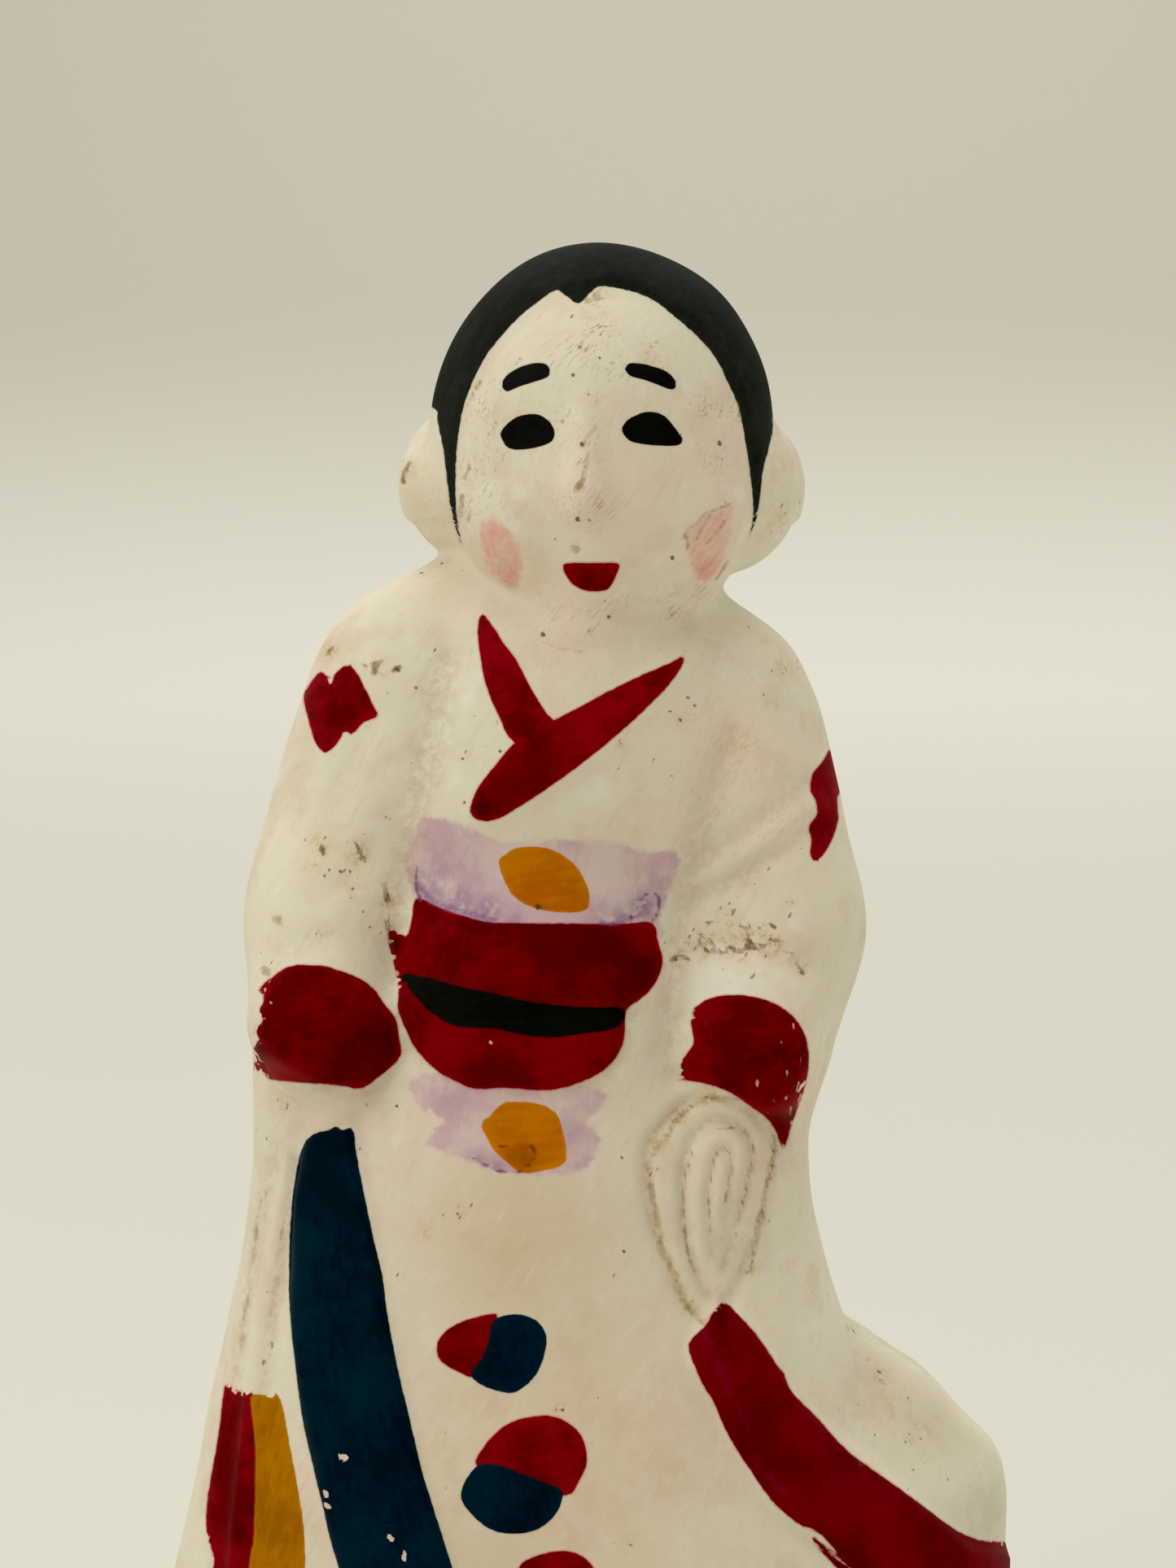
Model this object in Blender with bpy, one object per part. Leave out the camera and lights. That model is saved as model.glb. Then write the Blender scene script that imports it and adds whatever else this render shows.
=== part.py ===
"""A moulded clay doll of a standing woman in a long-sleeved robe, on a low foot slab.

The clay was pressed in a front and a back mould and joined as one piece, so the form has no deep
undercuts, and each horizontal section is one closed ring. The rings are found from soft masses
(robe, sleeves, obi, head) that run into each other, and are stacked from the foot to the crown.

Metres, +Z up, the face looks along -Y. The origin is the middle of the underside.
"""

import math

import bmesh
import bpy
import numpy as np

FIGURE_HEIGHT = 0.199  # from the top of the foot slab to the crown of the head
SLAB_HEIGHT = 0.005  # thickness of the foot slab under the hem
SLAB_MARGIN = 0.0025  # how far the slab stands out beyond the hem
SLAB_CHAMFER = 0.0012  # the bevel round the slab's upper and lower edges

CLAY_COLOUR = (0.72, 0.66, 0.54, 1.0)
CLAY_ROUGHNESS = 0.62

# The rings that the mesh is bridged from.
RING_COUNT = 200
CROWN_RINGS = 26  # of those, over the top of the head
RING_POINTS = 180
FRONT_CROWDING = 0.45  # how much closer together the ring points stand at the front
MOST_TRIANGLES = 9800

# How the surface is found: rays towards the core start this far out and close in step by step.
CORE_REACH = 76.0
MARCH_STEPS = 48
MARCH_SHARE = 0.7  # of the distance left that each step covers
PATH_STEPS = 8  # straight pieces to each span of a smooth path

# The figure is drawn in parts of which FIGURE_HEIGHT holds this many, about a millimetre each.
FIGURE_PARTS = 199.0
PART = FIGURE_HEIGHT / FIGURE_PARTS

# The robe's sections: height, reach to the left, right, front and back, squareness.
ROBE = (
    (0.0, 54.0, 51.0, 33.0, 32.0, 2.3),
    (12.0, 53.0, 49.5, 31.5, 31.0, 2.3),
    (34.6, 50.6, 45.5, 28.5, 29.0, 2.3),
    (46.0, 48.0, 41.5, 26.5, 27.5, 2.3),
    (60.4, 44.9, 35.5, 23.5, 25.0, 2.3),
    (75.9, 41.7, 30.4, 20.0, 22.5, 2.3),
    (89.2, 40.2, 28.6, 16.5, 20.5, 2.3),
    (100.4, 40.3, 31.6, 14.0, 19.5, 2.3),
    (111.6, 40.5, 34.2, 13.5, 19.0, 2.2),
    (119.7, 40.1, 34.3, 13.5, 18.5, 2.2),
    (129.8, 38.0, 32.5, 14.0, 18.0, 2.1),
    (141.8, 34.1, 29.9, 14.0, 17.5, 2.0),
    (149.8, 30.9, 25.8, 13.5, 16.5, 2.0),
    (156.8, 24.9, 18.1, 11.5, 14.0, 2.0),
    (161.7, 16.4, 13.0, 9.5, 11.5, 2.0),
    (172.0, 9.0, 9.0, 7.0, 9.0, 2.0),
)
ROBE_TOP = 170.0

# An oval core well inside the figure, which the surface is measured out from, square to the oval:
# height, across, back, half width, half depth.
CORE = (
    (0.0, 0.0, 0.0, 34.0, 14.0),
    (60.0, -2.0, 0.0, 29.0, 11.0),
    (95.0, -3.0, 0.0, 26.0, 8.0),
    (125.0, -3.0, -1.0, 26.0, 7.0),
    (148.0, 0.0, -1.0, 16.0, 6.0),
    (160.0, 2.0, -2.0, 7.0, 4.5),
    (170.0, 2.6, -3.0, 4.0, 4.0),
    (190.0, 2.6, -3.0, 1.5, 1.5),
    (198.3, 3.0, -3.0, 0.0, 0.0),
)

# Soft masses laid on the robe: centre and half sizes as (across, back, up), and how softly each runs in.
CHEST = {"centre": (-1.5, -5.0, 136.0), "half": (20.0, 14.0, 24.0), "blend": 4.0}
WAIST = {"centre": (-5.5, -5.5, 108.0), "half": (18.0, 16.0, 20.0), "blend": 4.0}
BELLY = {"centre": (-5.0, -6.0, 82.0), "half": (24.0, 14.0, 30.0), "blend": 6.0}
GATHERED_CLOTH = {"centre": (15.9, -9.8, 84.5), "half": (9.2, 8.2, 13.8), "blend": 1.6}
SKULL = {"centre": (3.0, -3.0, 176.5), "half": (20.0, 20.0, 21.8), "blend": 2.0}
NOSE = {"centre": (1.0, -21.6, 169.3), "half": (2.6, 2.2, 3.4), "blend": 2.0}
NOSE_BRIDGE = {"centre": (1.0, -21.7, 174.0), "half": (1.6, 1.6, 5.5), "blend": 2.0}
LEFT_CHEEK = {"centre": (-7.0, -12.4, 166.0), "half": (6.5, 6.5, 7.0), "blend": 3.0}
RIGHT_CHEEK = {"centre": (12.6, -12.4, 166.0), "half": (6.5, 6.5, 7.0), "blend": 3.0}
CHIN = {"centre": (1.5, -10.5, 154.5), "half": (7.0, 6.0, 5.0), "blend": 2.6}
LEFT_SIDE_LOCK = {"centre": (-11.4, 2.5, 170.2), "half": (9.9, 12.5, 9.9), "blend": 1.6}
RIGHT_SIDE_LOCK = {"centre": (16.9, 2.5, 169.6), "half": (10.3, 12.5, 10.6), "blend": 1.6}
NAPE_ROLL = {"centre": (2.8, 7.5, 169.0), "half": (14.0, 13.0, 12.5), "blend": 4.0}
# The sash's folded knot at the back: a cushion with rounded corners.
SASH_KNOT = {"centre": (-2.0, 16.0, 112.0), "half": (14.0, 7.0, 11.5), "corner": 6.5, "blend": 3.0}
JAW_DEEPEN = 27.2 / 21.8  # the skull is an egg: its lower half is this much longer

# Tapered limbs: two ends, the radius at each, and the blend.
LIMBS = (
    {"ends": ((-21.0, -1.0, 146.0), (-29.6, -3.0, 118.0)), "radii": (10.0, 9.8), "blend": 4.0},
    {"ends": ((-29.6, -3.0, 118.0), (-30.6, -9.0, 105.5)), "radii": (9.8, 9.4), "blend": 4.0},
    {"ends": ((17.0, -1.0, 144.0), (24.0, -3.0, 116.0)), "radii": (9.5, 9.8), "blend": 4.0},
    {"ends": ((24.0, -3.0, 116.0), (20.6, -9.5, 102.0)), "radii": (9.8, 8.8), "blend": 4.0},
)
# The robe's train, gathered up on one side: sections like the robe's, about its own middle. It slopes
# down from a crease against the robe, turns over a blunt corner and runs straight down to the hem. It
# leaves the robe crisply near its top and runs into it softly lower down.
TRAIN = {
    "centre": (34.0, 5.0, 0.0),
    "sections": (
        (0.0, 19.0, 19.0, 19.3, 19.3, 2.0),
        (20.0, 19.8, 19.8, 20.2, 20.2, 2.0),
        (36.0, 20.4, 20.3, 20.8, 20.8, 2.0),
        (42.0, 20.2, 20.4, 20.4, 20.2, 2.0),
        (46.5, 19.0, 19.8, 19.4, 18.6, 2.0),
        (49.0, 18.0, 18.7, 18.0, 17.0, 2.0),
        (53.0, 15.0, 15.0, 15.5, 14.0, 2.0),
        (58.5, 10.5, 10.1, 12.0, 9.5, 2.0),
        (62.0, 6.0, 5.0, 8.0, 5.5, 2.0),
        (64.9, 2.0, 0.8, 3.0, 2.0, 2.0),
    ),
    "top": 64.9,
    "top_blend": 2.0,
    "low_blend": 8.0,
    "blend_heights": (62.0, 44.0),
}

# The robe's two open edges stand proud of the skirt under it: height, left side and right side.
LEFT_EDGE = {
    "sides": (
        (0.0, -18.5, -4.5),
        (20.0, -22.5, -8.5),
        (43.0, -28.1, -14.7),
        (60.0, -32.4, -19.8),
        (72.0, -34.1, -22.5),
        (84.0, -34.1, -24.8),
        (91.0, -32.3, -26.0),
        (95.0, -29.0, -26.5),
    ),
    "rise": 1.5,
    "softness": 2.4,
}
RIGHT_EDGE = {
    "sides": (
        (26.0, 53.0, 62.0),
        (34.0, 42.0, 57.0),
        (41.3, 33.2, 47.0),
        (49.5, 23.6, 38.4),
        (56.0, 19.3, 31.3),
        (62.6, 15.8, 25.5),
        (67.0, 13.6, 22.9),
        (73.0, 15.6, 18.6),
    ),
    "rise": 1.5,
    "softness": 2.4,
}
FRONT_ONLY = 12.0  # the carving fades out over this depth, about the figure's widest line

# Lines carved into the front, as (across, up) points that a smooth curve passes through, with a
# width and a depth. A negative depth is a raised line.
CARVED_LINES = (
    # folds down the sleeve that hangs on the left
    {
        "path": ((-36.7, 89.7), (-38.7, 81.0), (-40.3, 71.0), (-41.8, 61.0), (-44.5, 30.0), (-47.5, 2.0)),
        "width": 1.3,
        "depth": 1.0,
    },
    {
        "path": ((-35.2, 91.0), (-36.8, 80.0), (-38.4, 69.0), (-39.8, 60.0), (-42.3, 30.0), (-45.2, 2.0)),
        "width": 1.2,
        "depth": -0.5,
    },
    {
        "path": ((-34.2, 88.0), (-35.3, 81.8), (-36.5, 71.6), (-37.8, 61.0), (-40.0, 30.0), (-43.0, 2.0)),
        "width": 1.2,
        "depth": 1.0,
    },
    # the gathered cloth's rim and the two loops inside it
    {
        "path": (
            (15.6, 71.0), (13.2, 72.7), (9.9, 80.2), (8.3, 87.0), (9.0, 92.5), (14.5, 97.0),
            (20.5, 95.8), (23.6, 91.5), (22.6, 85.0), (20.2, 77.4), (17.2, 71.5),
        ),
        "width": 1.2,
        "depth": 0.9,
    },
    {
        "path": (
            (15.6, 73.5), (13.6, 78.0), (12.6, 85.0), (13.6, 92.0), (17.4, 94.5), (20.8, 91.5),
            (19.8, 84.5), (17.4, 76.5),
        ),
        "width": 1.0,
        "depth": 0.8,
    },
    {
        "path": ((16.2, 78.0), (15.7, 86.5), (17.2, 91.3), (18.4, 89.4), (17.4, 80.0)),
        "width": 0.9,
        "depth": 0.6,
    },
    # creases of the sleeves: over the elbows, along the chest and across the upper arms
    {"path": ((13.6, 113.7), (20.3, 115.5), (27.1, 112.8)), "width": 2.0, "depth": 0.8},
    {"path": ((-36.0, 113.5), (-29.5, 116.5), (-23.0, 114.0)), "width": 2.2, "depth": 0.5},
    {"path": ((-15.8, 149.0), (-17.8, 137.0), (-20.8, 124.0), (-21.8, 112.0)), "width": 2.6, "depth": 0.7},
    {"path": ((17.8, 139.0), (14.0, 125.0), (11.4, 113.0), (11.6, 103.0)), "width": 2.6, "depth": 0.7},
    {"path": ((25.0, 138.0), (20.0, 131.0), (14.5, 126.5)), "width": 2.0, "depth": 0.5},
    {"path": ((-24.6, 142.6), (-27.1, 136.8), (-29.1, 130.9)), "width": 2.2, "depth": 0.4},
    # under the sash, and under each cuff
    {
        "path": ((-21.3, 106.0), (-17.0, 100.6), (-5.0, 98.6), (3.5, 101.0), (6.5, 107.5)),
        "width": 1.6,
        "depth": 0.9,
    },
    {"path": ((-37.5, 100.5), (-31.7, 98.4), (-25.5, 98.4), (-20.6, 102.5)), "width": 1.6, "depth": 0.9},
    {"path": ((11.5, 99.8), (17.5, 98.2), (22.5, 94.8), (25.0, 91.0)), "width": 1.4, "depth": 0.9},
    # the two sides of the collar
    {"path": ((-11.4, 154.0), (-7.0, 148.0), (-3.0, 141.0)), "width": 2.4, "depth": -0.8},
    {"path": ((12.0, 149.0), (4.5, 141.5), (-4.0, 136.0), (-11.0, 131.5)), "width": 2.6, "depth": -1.0},
)
EYE_HOLLOWS = ((-5.8, 175.6), (8.6, 175.9))
EYE_HOLLOW = {"width": 4.6, "depth": 0.7}
# Combed hair stands proud of the face outside this oval, down to the side locks.
HAIRLINE = {
    "centre": (3.2, 168.0),
    "half": (17.4, 24.0),
    "lowest": 165.0,
    "rise": 0.7,
    "softness": 1.2,
}


def smooth_curve(at, points):
    """Values at the heights in at, on a curve through points of (height, value) with no overshoot."""
    heights, values = np.array(points, float).T
    steps = np.diff(heights)
    slopes = np.diff(values) / steps
    tangents = np.zeros(len(values))
    same_way = slopes[:-1] * slopes[1:] > 0
    before = 2 * steps[1:] + steps[:-1]
    after = steps[1:] + 2 * steps[:-1]
    safe = np.where(same_way, slopes[:-1] * slopes[1:], 1.0)
    below = np.where(same_way, before * slopes[1:] + after * slopes[:-1], 1.0)
    tangents[1:-1] = np.where(same_way, (before + after) * safe / below, 0.0)
    tangents[0], tangents[-1] = slopes[0], slopes[-1]
    at = np.clip(at, heights[0], heights[-1])
    k = np.clip(np.searchsorted(heights, at, side="right") - 1, 0, len(steps) - 1)
    h = steps[k]
    t = (at - heights[k]) / h
    return (
        values[k] * (1 + 2 * t) * (1 - t) ** 2
        + tangents[k] * h * t * (1 - t) ** 2
        + values[k + 1] * t * t * (3 - 2 * t)
        + tangents[k + 1] * h * t * t * (t - 1)
    )


def column(table, index):
    return [(row[0], row[index]) for row in table]


def run_together(a, b, blend):
    """The union of two distance fields, with a soft fillet about as wide as blend."""
    overlap = np.maximum(blend - np.abs(a - b), 0) / blend
    return np.minimum(a, b) - overlap * overlap * blend / 4


def egg(points, centre, half):
    """Distance to an ellipsoid, near enough close to its surface."""
    scaled = (points - centre) / half
    reach = np.linalg.norm(scaled, axis=1)
    slope = np.linalg.norm(scaled / half, axis=1)
    return reach * (reach - 1) / np.maximum(slope, 1e-6)


def limb(points, ends, radii):
    """Distance to a round bar that tapers between two ends."""
    start, end = (np.array(p) for p in ends)
    along = end - start
    share = np.clip((points - start) @ along / (along @ along), 0, 1)
    radius = radii[0] + (radii[1] - radii[0]) * share
    return np.linalg.norm(points - start - share[:, None] * along, axis=1) - radius


def cushion(points, centre, half, corner):
    """Distance to a block with rounded corners."""
    beyond = np.abs(points - centre) - (np.array(half) - corner)
    return np.linalg.norm(np.maximum(beyond, 0), axis=1) + np.minimum(beyond.max(axis=1), 0) - corner


def stacked_ovals(points, sections, top):
    """Distance to a form given by its sections, measured level, and closed at its top."""
    height = points[:, 2]
    left, right, front, back, square = (smooth_curve(height, column(sections, k)) for k in range(1, 6))
    wide = np.where(points[:, 0] < 0, left, right)
    deep = np.where(points[:, 1] < 0, front, back)
    fold = (np.abs(points[:, 0] / wide) ** square + np.abs(points[:, 1] / deep) ** square) ** (1 / square)
    reach = np.hypot(points[:, 0], points[:, 1])
    flat = reach * (1 - 1 / np.maximum(fold, 1e-3))
    return np.maximum(flat, height - top)


def skull(points):
    """An egg with its long end down."""
    longer = np.where(points[:, 2] < SKULL["centre"][2], JAW_DEEPEN, 1.0)
    half = np.array(SKULL["half"]) * np.stack([np.ones_like(longer), np.ones_like(longer), longer], 1)
    return egg(points, SKULL["centre"], half)


def train_blend(points):
    """How softly the train runs into the robe at each point's height."""
    top, low = TRAIN["blend_heights"]
    share = smooth_step((top - points[:, 2]) / (top - low))
    return TRAIN["top_blend"] + (TRAIN["low_blend"] - TRAIN["top_blend"]) * share


def figure(points):
    """Distance to the figure's surface, in parts of its height."""
    robe = stacked_ovals(points, ROBE, ROBE_TOP)
    train = stacked_ovals(points - TRAIN["centre"], TRAIN["sections"], TRAIN["top"])
    body = run_together(robe, train, train_blend(points))
    for mass in (CHEST, BELLY, WAIST):
        body = run_together(body, egg(points, mass["centre"], mass["half"]), mass["blend"])
    knot = cushion(points, SASH_KNOT["centre"], SASH_KNOT["half"], SASH_KNOT["corner"])
    body = run_together(body, knot, SASH_KNOT["blend"])
    for arm in LIMBS:
        body = run_together(body, limb(points, arm["ends"], arm["radii"]), arm["blend"])
    cloth = egg(points, GATHERED_CLOTH["centre"], GATHERED_CLOTH["half"])
    body = run_together(body, cloth, GATHERED_CLOTH["blend"])
    head = skull(points)
    face = (NOSE, NOSE_BRIDGE, LEFT_CHEEK, RIGHT_CHEEK, CHIN)
    for mass in (*face, NAPE_ROLL, LEFT_SIDE_LOCK, RIGHT_SIDE_LOCK):
        head = run_together(head, egg(points, mass["centre"], mass["half"]), mass["blend"])
    return run_together(body, head, SKULL["blend"])


def smooth_step(share):
    share = np.clip(share, 0, 1)
    return share * share * (3 - 2 * share)


def raised_edge(points, edge):
    """How far an edge stands out at each point: all of its rise inside its two sides, none outside."""
    height = points[:, 2]
    sides = edge["sides"]
    soft = edge["softness"]
    left = smooth_curve(height, column(sides, 1))
    right = smooth_curve(height, column(sides, 2))
    inside = smooth_step((points[:, 0] - left) / soft + 0.5)
    inside *= smooth_step((right - points[:, 0]) / soft + 0.5)
    ends = smooth_step((height - sides[0][0]) / soft + 1) * smooth_step((sides[-1][0] - height) / soft)
    return edge["rise"] * inside * ends * smooth_step(0.5 - points[:, 1] / FRONT_ONLY)


def smooth_path(points):
    """A Catmull-Rom curve through the points, as short straight pieces."""
    points = np.array(points, float)
    ends = np.concatenate([[2 * points[0] - points[1]], points, [2 * points[-1] - points[-2]]])
    t = np.linspace(0, 1, PATH_STEPS, endpoint=False)[:, None]
    spans = []
    for before, start, end, after in zip(ends, ends[1:], ends[2:], ends[3:]):
        bend = (2 * before - 5 * start + 4 * end - after) * t**2
        bend = bend + (3 * (start - end) + after - before) * t**3
        spans.append(start + 0.5 * ((end - before) * t + bend))
    return np.concatenate([*spans, points[-1:]])


def distance_to_path(flat, path):
    """From each (across, up) point to the nearest piece of a path."""
    nearest = np.full(len(flat), np.inf)
    for start, end in zip(path, path[1:]):
        along = end - start
        share = np.clip((flat - start) @ along / (along @ along), 0, 1)
        nearest = np.minimum(nearest, np.linalg.norm(flat - start - share[:, None] * along, axis=1))
    return nearest


def carving(points):
    """How far the carving stands out at each point: below zero in a groove."""
    flat = points[:, [0, 2]]
    depth = np.zeros(len(points))
    for line in CARVED_LINES:
        away = distance_to_path(flat, smooth_path(line["path"])) / line["width"]
        depth -= line["depth"] * np.exp(-away * away)
    for hollow in EYE_HOLLOWS:
        away = np.linalg.norm(flat - hollow, axis=1) / EYE_HOLLOW["width"]
        depth -= EYE_HOLLOW["depth"] * np.exp(-away * away)
    return depth * smooth_step(0.5 - points[:, 1] / FRONT_ONLY)


def combed_hair(points):
    """How far the hair stands out: all of its rise above and beside the face, and over the back."""
    oval = np.hypot(*((points[:, [0, 2]] - HAIRLINE["centre"]) / HAIRLINE["half"]).T)
    beyond = smooth_step((oval - 1) * HAIRLINE["half"][0] / HAIRLINE["softness"])
    behind = smooth_step(points[:, 1] / HAIRLINE["softness"])
    above = smooth_step((points[:, 2] - HAIRLINE["lowest"]) / HAIRLINE["softness"])
    return HAIRLINE["rise"] * np.maximum(beyond, behind) * above


def ring_heights():
    """From the hem to just under the crown, closer together as the head closes in."""
    widest = SKULL["centre"][2]
    lower = np.linspace(0, widest, RING_COUNT - CROWN_RINGS)
    turn = np.linspace(0, math.pi / 2, CROWN_RINGS + 2)[1:-1]
    return np.concatenate([lower, widest + SKULL["half"][2] * np.sin(turn)])


def core_rays(heights):
    """Points round the core's oval at each height, from the back, and the directions square to it."""
    across, back, wide, deep = (smooth_curve(heights, column(CORE, k))[:, None] for k in range(1, 5))
    turn = np.arange(RING_POINTS) * math.tau / RING_POINTS
    turn = (turn + FRONT_CROWDING * np.sin(turn))[None, :]
    level = np.zeros_like(across * turn)
    up = heights[:, None] + level
    starts = np.stack([across + wide * np.sin(turn), back + deep * np.cos(turn), up], 2)
    narrow = deep / np.maximum(wide, 1e-9)
    narrow[wide <= 0] = 1.0
    rays = np.stack([narrow * np.sin(turn), np.cos(turn) + level, level], 2)
    rays /= np.linalg.norm(rays, axis=2)[:, :, None]
    return starts.reshape(-1, 3), rays.reshape(-1, 3)


def figure_rings():
    """The figure's rings, (ring, point, 3), and the hem's ring without its edges, in parts of its height."""
    heights = ring_heights()
    starts, rays = core_rays(heights)
    reach = np.full(len(rays), CORE_REACH)
    for _ in range(MARCH_STEPS):
        reach -= MARCH_SHARE * figure(starts + rays * reach[:, None])
    surface = starts + rays * reach[:, None]
    lean = (surface - SKULL["centre"]) / np.square(SKULL["half"])
    lean /= np.linalg.norm(lean, axis=1)[:, None]
    outward = np.where(surface[:, 2:] > SKULL["centre"][2], lean, rays)
    rise = raised_edge(surface, LEFT_EDGE) + raised_edge(surface, RIGHT_EDGE)
    rise += carving(surface) + combed_hair(surface)
    rings = (surface + outward * rise[:, None]).reshape(len(heights), RING_POINTS, 3)
    return rings, surface[:RING_POINTS]


def slab_rings(hem):
    """The foot slab's four rings in metres, from a hem ring in metres."""
    centre = hem.mean(axis=0)
    outward = hem - centre
    outward[:, 2] = 0
    outward /= np.linalg.norm(outward, axis=1)[:, None]
    levels = (
        (0.0, SLAB_MARGIN - SLAB_CHAMFER),
        (SLAB_CHAMFER, SLAB_MARGIN),
        (SLAB_HEIGHT - SLAB_CHAMFER, SLAB_MARGIN),
        (SLAB_HEIGHT, SLAB_MARGIN - SLAB_CHAMFER),
    )
    rings = []
    for height, beyond in levels:
        ring = hem + outward * beyond
        ring[:, 2] = height
        rings.append(ring)
    return np.array(rings)


def doll_mesh():
    """The slab's rings and the figure's, bridged from the underside to the crown."""
    rings, hem = figure_rings()
    rings = rings * PART
    rings[:, :, 2] += SLAB_HEIGHT
    rings = np.concatenate([slab_rings(hem * PART), rings])
    middle = (rings[0].min(axis=0) + rings[0].max(axis=0)) / 2
    middle[2] = 0
    crown = np.array(SKULL["centre"])
    crown[2] += SKULL["half"][2] + HAIRLINE["rise"]
    crown = crown * PART + (0, 0, SLAB_HEIGHT) - middle
    rings -= middle
    mesh = bmesh.new()
    rows = [[mesh.verts.new(point) for point in ring] for ring in rings]
    top = mesh.verts.new(crown)
    mesh.faces.new(rows[0])
    for lower, upper in zip(rows, rows[1:]):
        for k in range(RING_POINTS):
            after = (k + 1) % RING_POINTS
            mesh.faces.new((lower[k], lower[after], upper[after], upper[k]))
    for k in range(RING_POINTS):
        mesh.faces.new((rows[-1][k], rows[-1][(k + 1) % RING_POINTS], top))
    bmesh.ops.triangulate(mesh, faces=mesh.faces[:])
    bmesh.ops.recalc_face_normals(mesh, faces=mesh.faces[:])
    return mesh


def clay():
    material = bpy.data.materials.new("painted_clay")
    material.use_nodes = True
    shader = material.node_tree.nodes["Principled BSDF"]
    shader.inputs["Base Color"].default_value = CLAY_COLOUR
    shader.inputs["Roughness"].default_value = CLAY_ROUGHNESS
    shader.inputs["Metallic"].default_value = 0.0
    material.diffuse_color = CLAY_COLOUR
    return material


def build():
    for obj in list(bpy.data.objects):
        bpy.data.objects.remove(obj)
    mesh = doll_mesh()
    data = bpy.data.meshes.new("clay_doll")
    mesh.to_mesh(data)
    mesh.free()
    data.materials.append(clay())
    data.polygons.foreach_set("use_smooth", [True] * len(data.polygons))
    doll = bpy.data.objects.new("clay_doll", data)
    collection = bpy.data.collections.new("japanese_clay_doll")
    bpy.context.scene.collection.children.link(collection)
    collection.objects.link(doll)
    thin = doll.modifiers.new("even_out", "DECIMATE")
    thin.ratio = min(1.0, MOST_TRIANGLES / len(data.polygons))


build()
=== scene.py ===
import math

import bmesh
import bpy
import numpy as np
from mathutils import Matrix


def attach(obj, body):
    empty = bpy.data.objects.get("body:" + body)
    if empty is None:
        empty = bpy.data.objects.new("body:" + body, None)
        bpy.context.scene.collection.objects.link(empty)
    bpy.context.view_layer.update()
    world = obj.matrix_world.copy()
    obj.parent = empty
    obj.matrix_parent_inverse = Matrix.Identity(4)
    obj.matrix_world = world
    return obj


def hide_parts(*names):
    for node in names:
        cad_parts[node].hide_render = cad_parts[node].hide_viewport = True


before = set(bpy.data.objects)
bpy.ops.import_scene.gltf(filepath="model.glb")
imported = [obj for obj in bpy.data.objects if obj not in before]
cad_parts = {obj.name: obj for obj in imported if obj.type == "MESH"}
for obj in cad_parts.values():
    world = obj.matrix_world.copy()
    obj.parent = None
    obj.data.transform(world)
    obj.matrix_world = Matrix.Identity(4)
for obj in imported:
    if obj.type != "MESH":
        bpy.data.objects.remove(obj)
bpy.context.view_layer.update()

mm = 0.001
print("frame loaded")


# Camera: the photograph's viewing angle. The frame is 1445 by 1927 pixels.
photoCamera = {
    "frameWidth": 1445,
    "frameHeight": 1927,
    "distance": 400.0,  # mm from the aim point
    "elevation": 5.0,  # degrees
    "aim": (1.25, 0.0, 138.45),  # mm
    "mmPerPixel": 0.1,  # at the aim point
    "sensorHeight": 24.0,
    "nearest": 10.0,  # mm
}


def cameraPlace():
    lift = math.radians(photoCamera["elevation"])
    aim = np.array(photoCamera["aim"])
    away = np.array([0.0, -math.cos(lift), math.sin(lift)])
    return aim + away * photoCamera["distance"], lift


def photoPixels(points):
    # where points (mm) fall in the photograph's frame, as (x, y) pixels
    place, lift = cameraPlace()
    offset = points - place
    forward = np.array([0.0, math.cos(lift), -math.sin(lift)])
    upward = np.array([0.0, math.sin(lift), math.cos(lift)])
    depth = offset @ forward
    focal = photoCamera["distance"] / photoCamera["mmPerPixel"]
    across = photoCamera["frameWidth"] / 2 + focal * offset[:, 0] / depth
    down = photoCamera["frameHeight"] / 2 - focal * (offset @ upward) / depth
    return np.stack([across, down], axis=1)


def makeCamera():
    place, lift = cameraPlace()
    data = bpy.data.cameras.new("photoCamera")
    data.sensor_fit = "VERTICAL"
    data.sensor_height = photoCamera["sensorHeight"]
    frameMm = photoCamera["frameHeight"] * photoCamera["mmPerPixel"]
    data.lens = photoCamera["sensorHeight"] * photoCamera["distance"] / frameMm
    data.clip_start = photoCamera["nearest"] * mm
    camera = bpy.data.objects.new("photoCamera", data)
    camera.location = place * mm
    camera.rotation_euler = (math.pi / 2 - lift, 0, 0)
    bpy.context.scene.collection.objects.link(camera)
    bpy.context.scene.camera = camera


makeCamera()
print("camera placed")


# Form: the same soft masses as the moulded solid, in mm above the foot slab's top.
slab = {"height": 5.0, "margin": 2.5, "round": 1.2, "roundSteps": 4}
ringPlan = {
    "zones": ((0.0, 95.0, 130), (95.0, 150.0, 108), (150.0, 176.5, 70)),  # from, to, rings
    "crownRings": 50,
    "points": 260,
    "frontCrowding": 0.52,
    "start": 76.0,
    "steps": 48,
    "share": 0.7,
}

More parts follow.
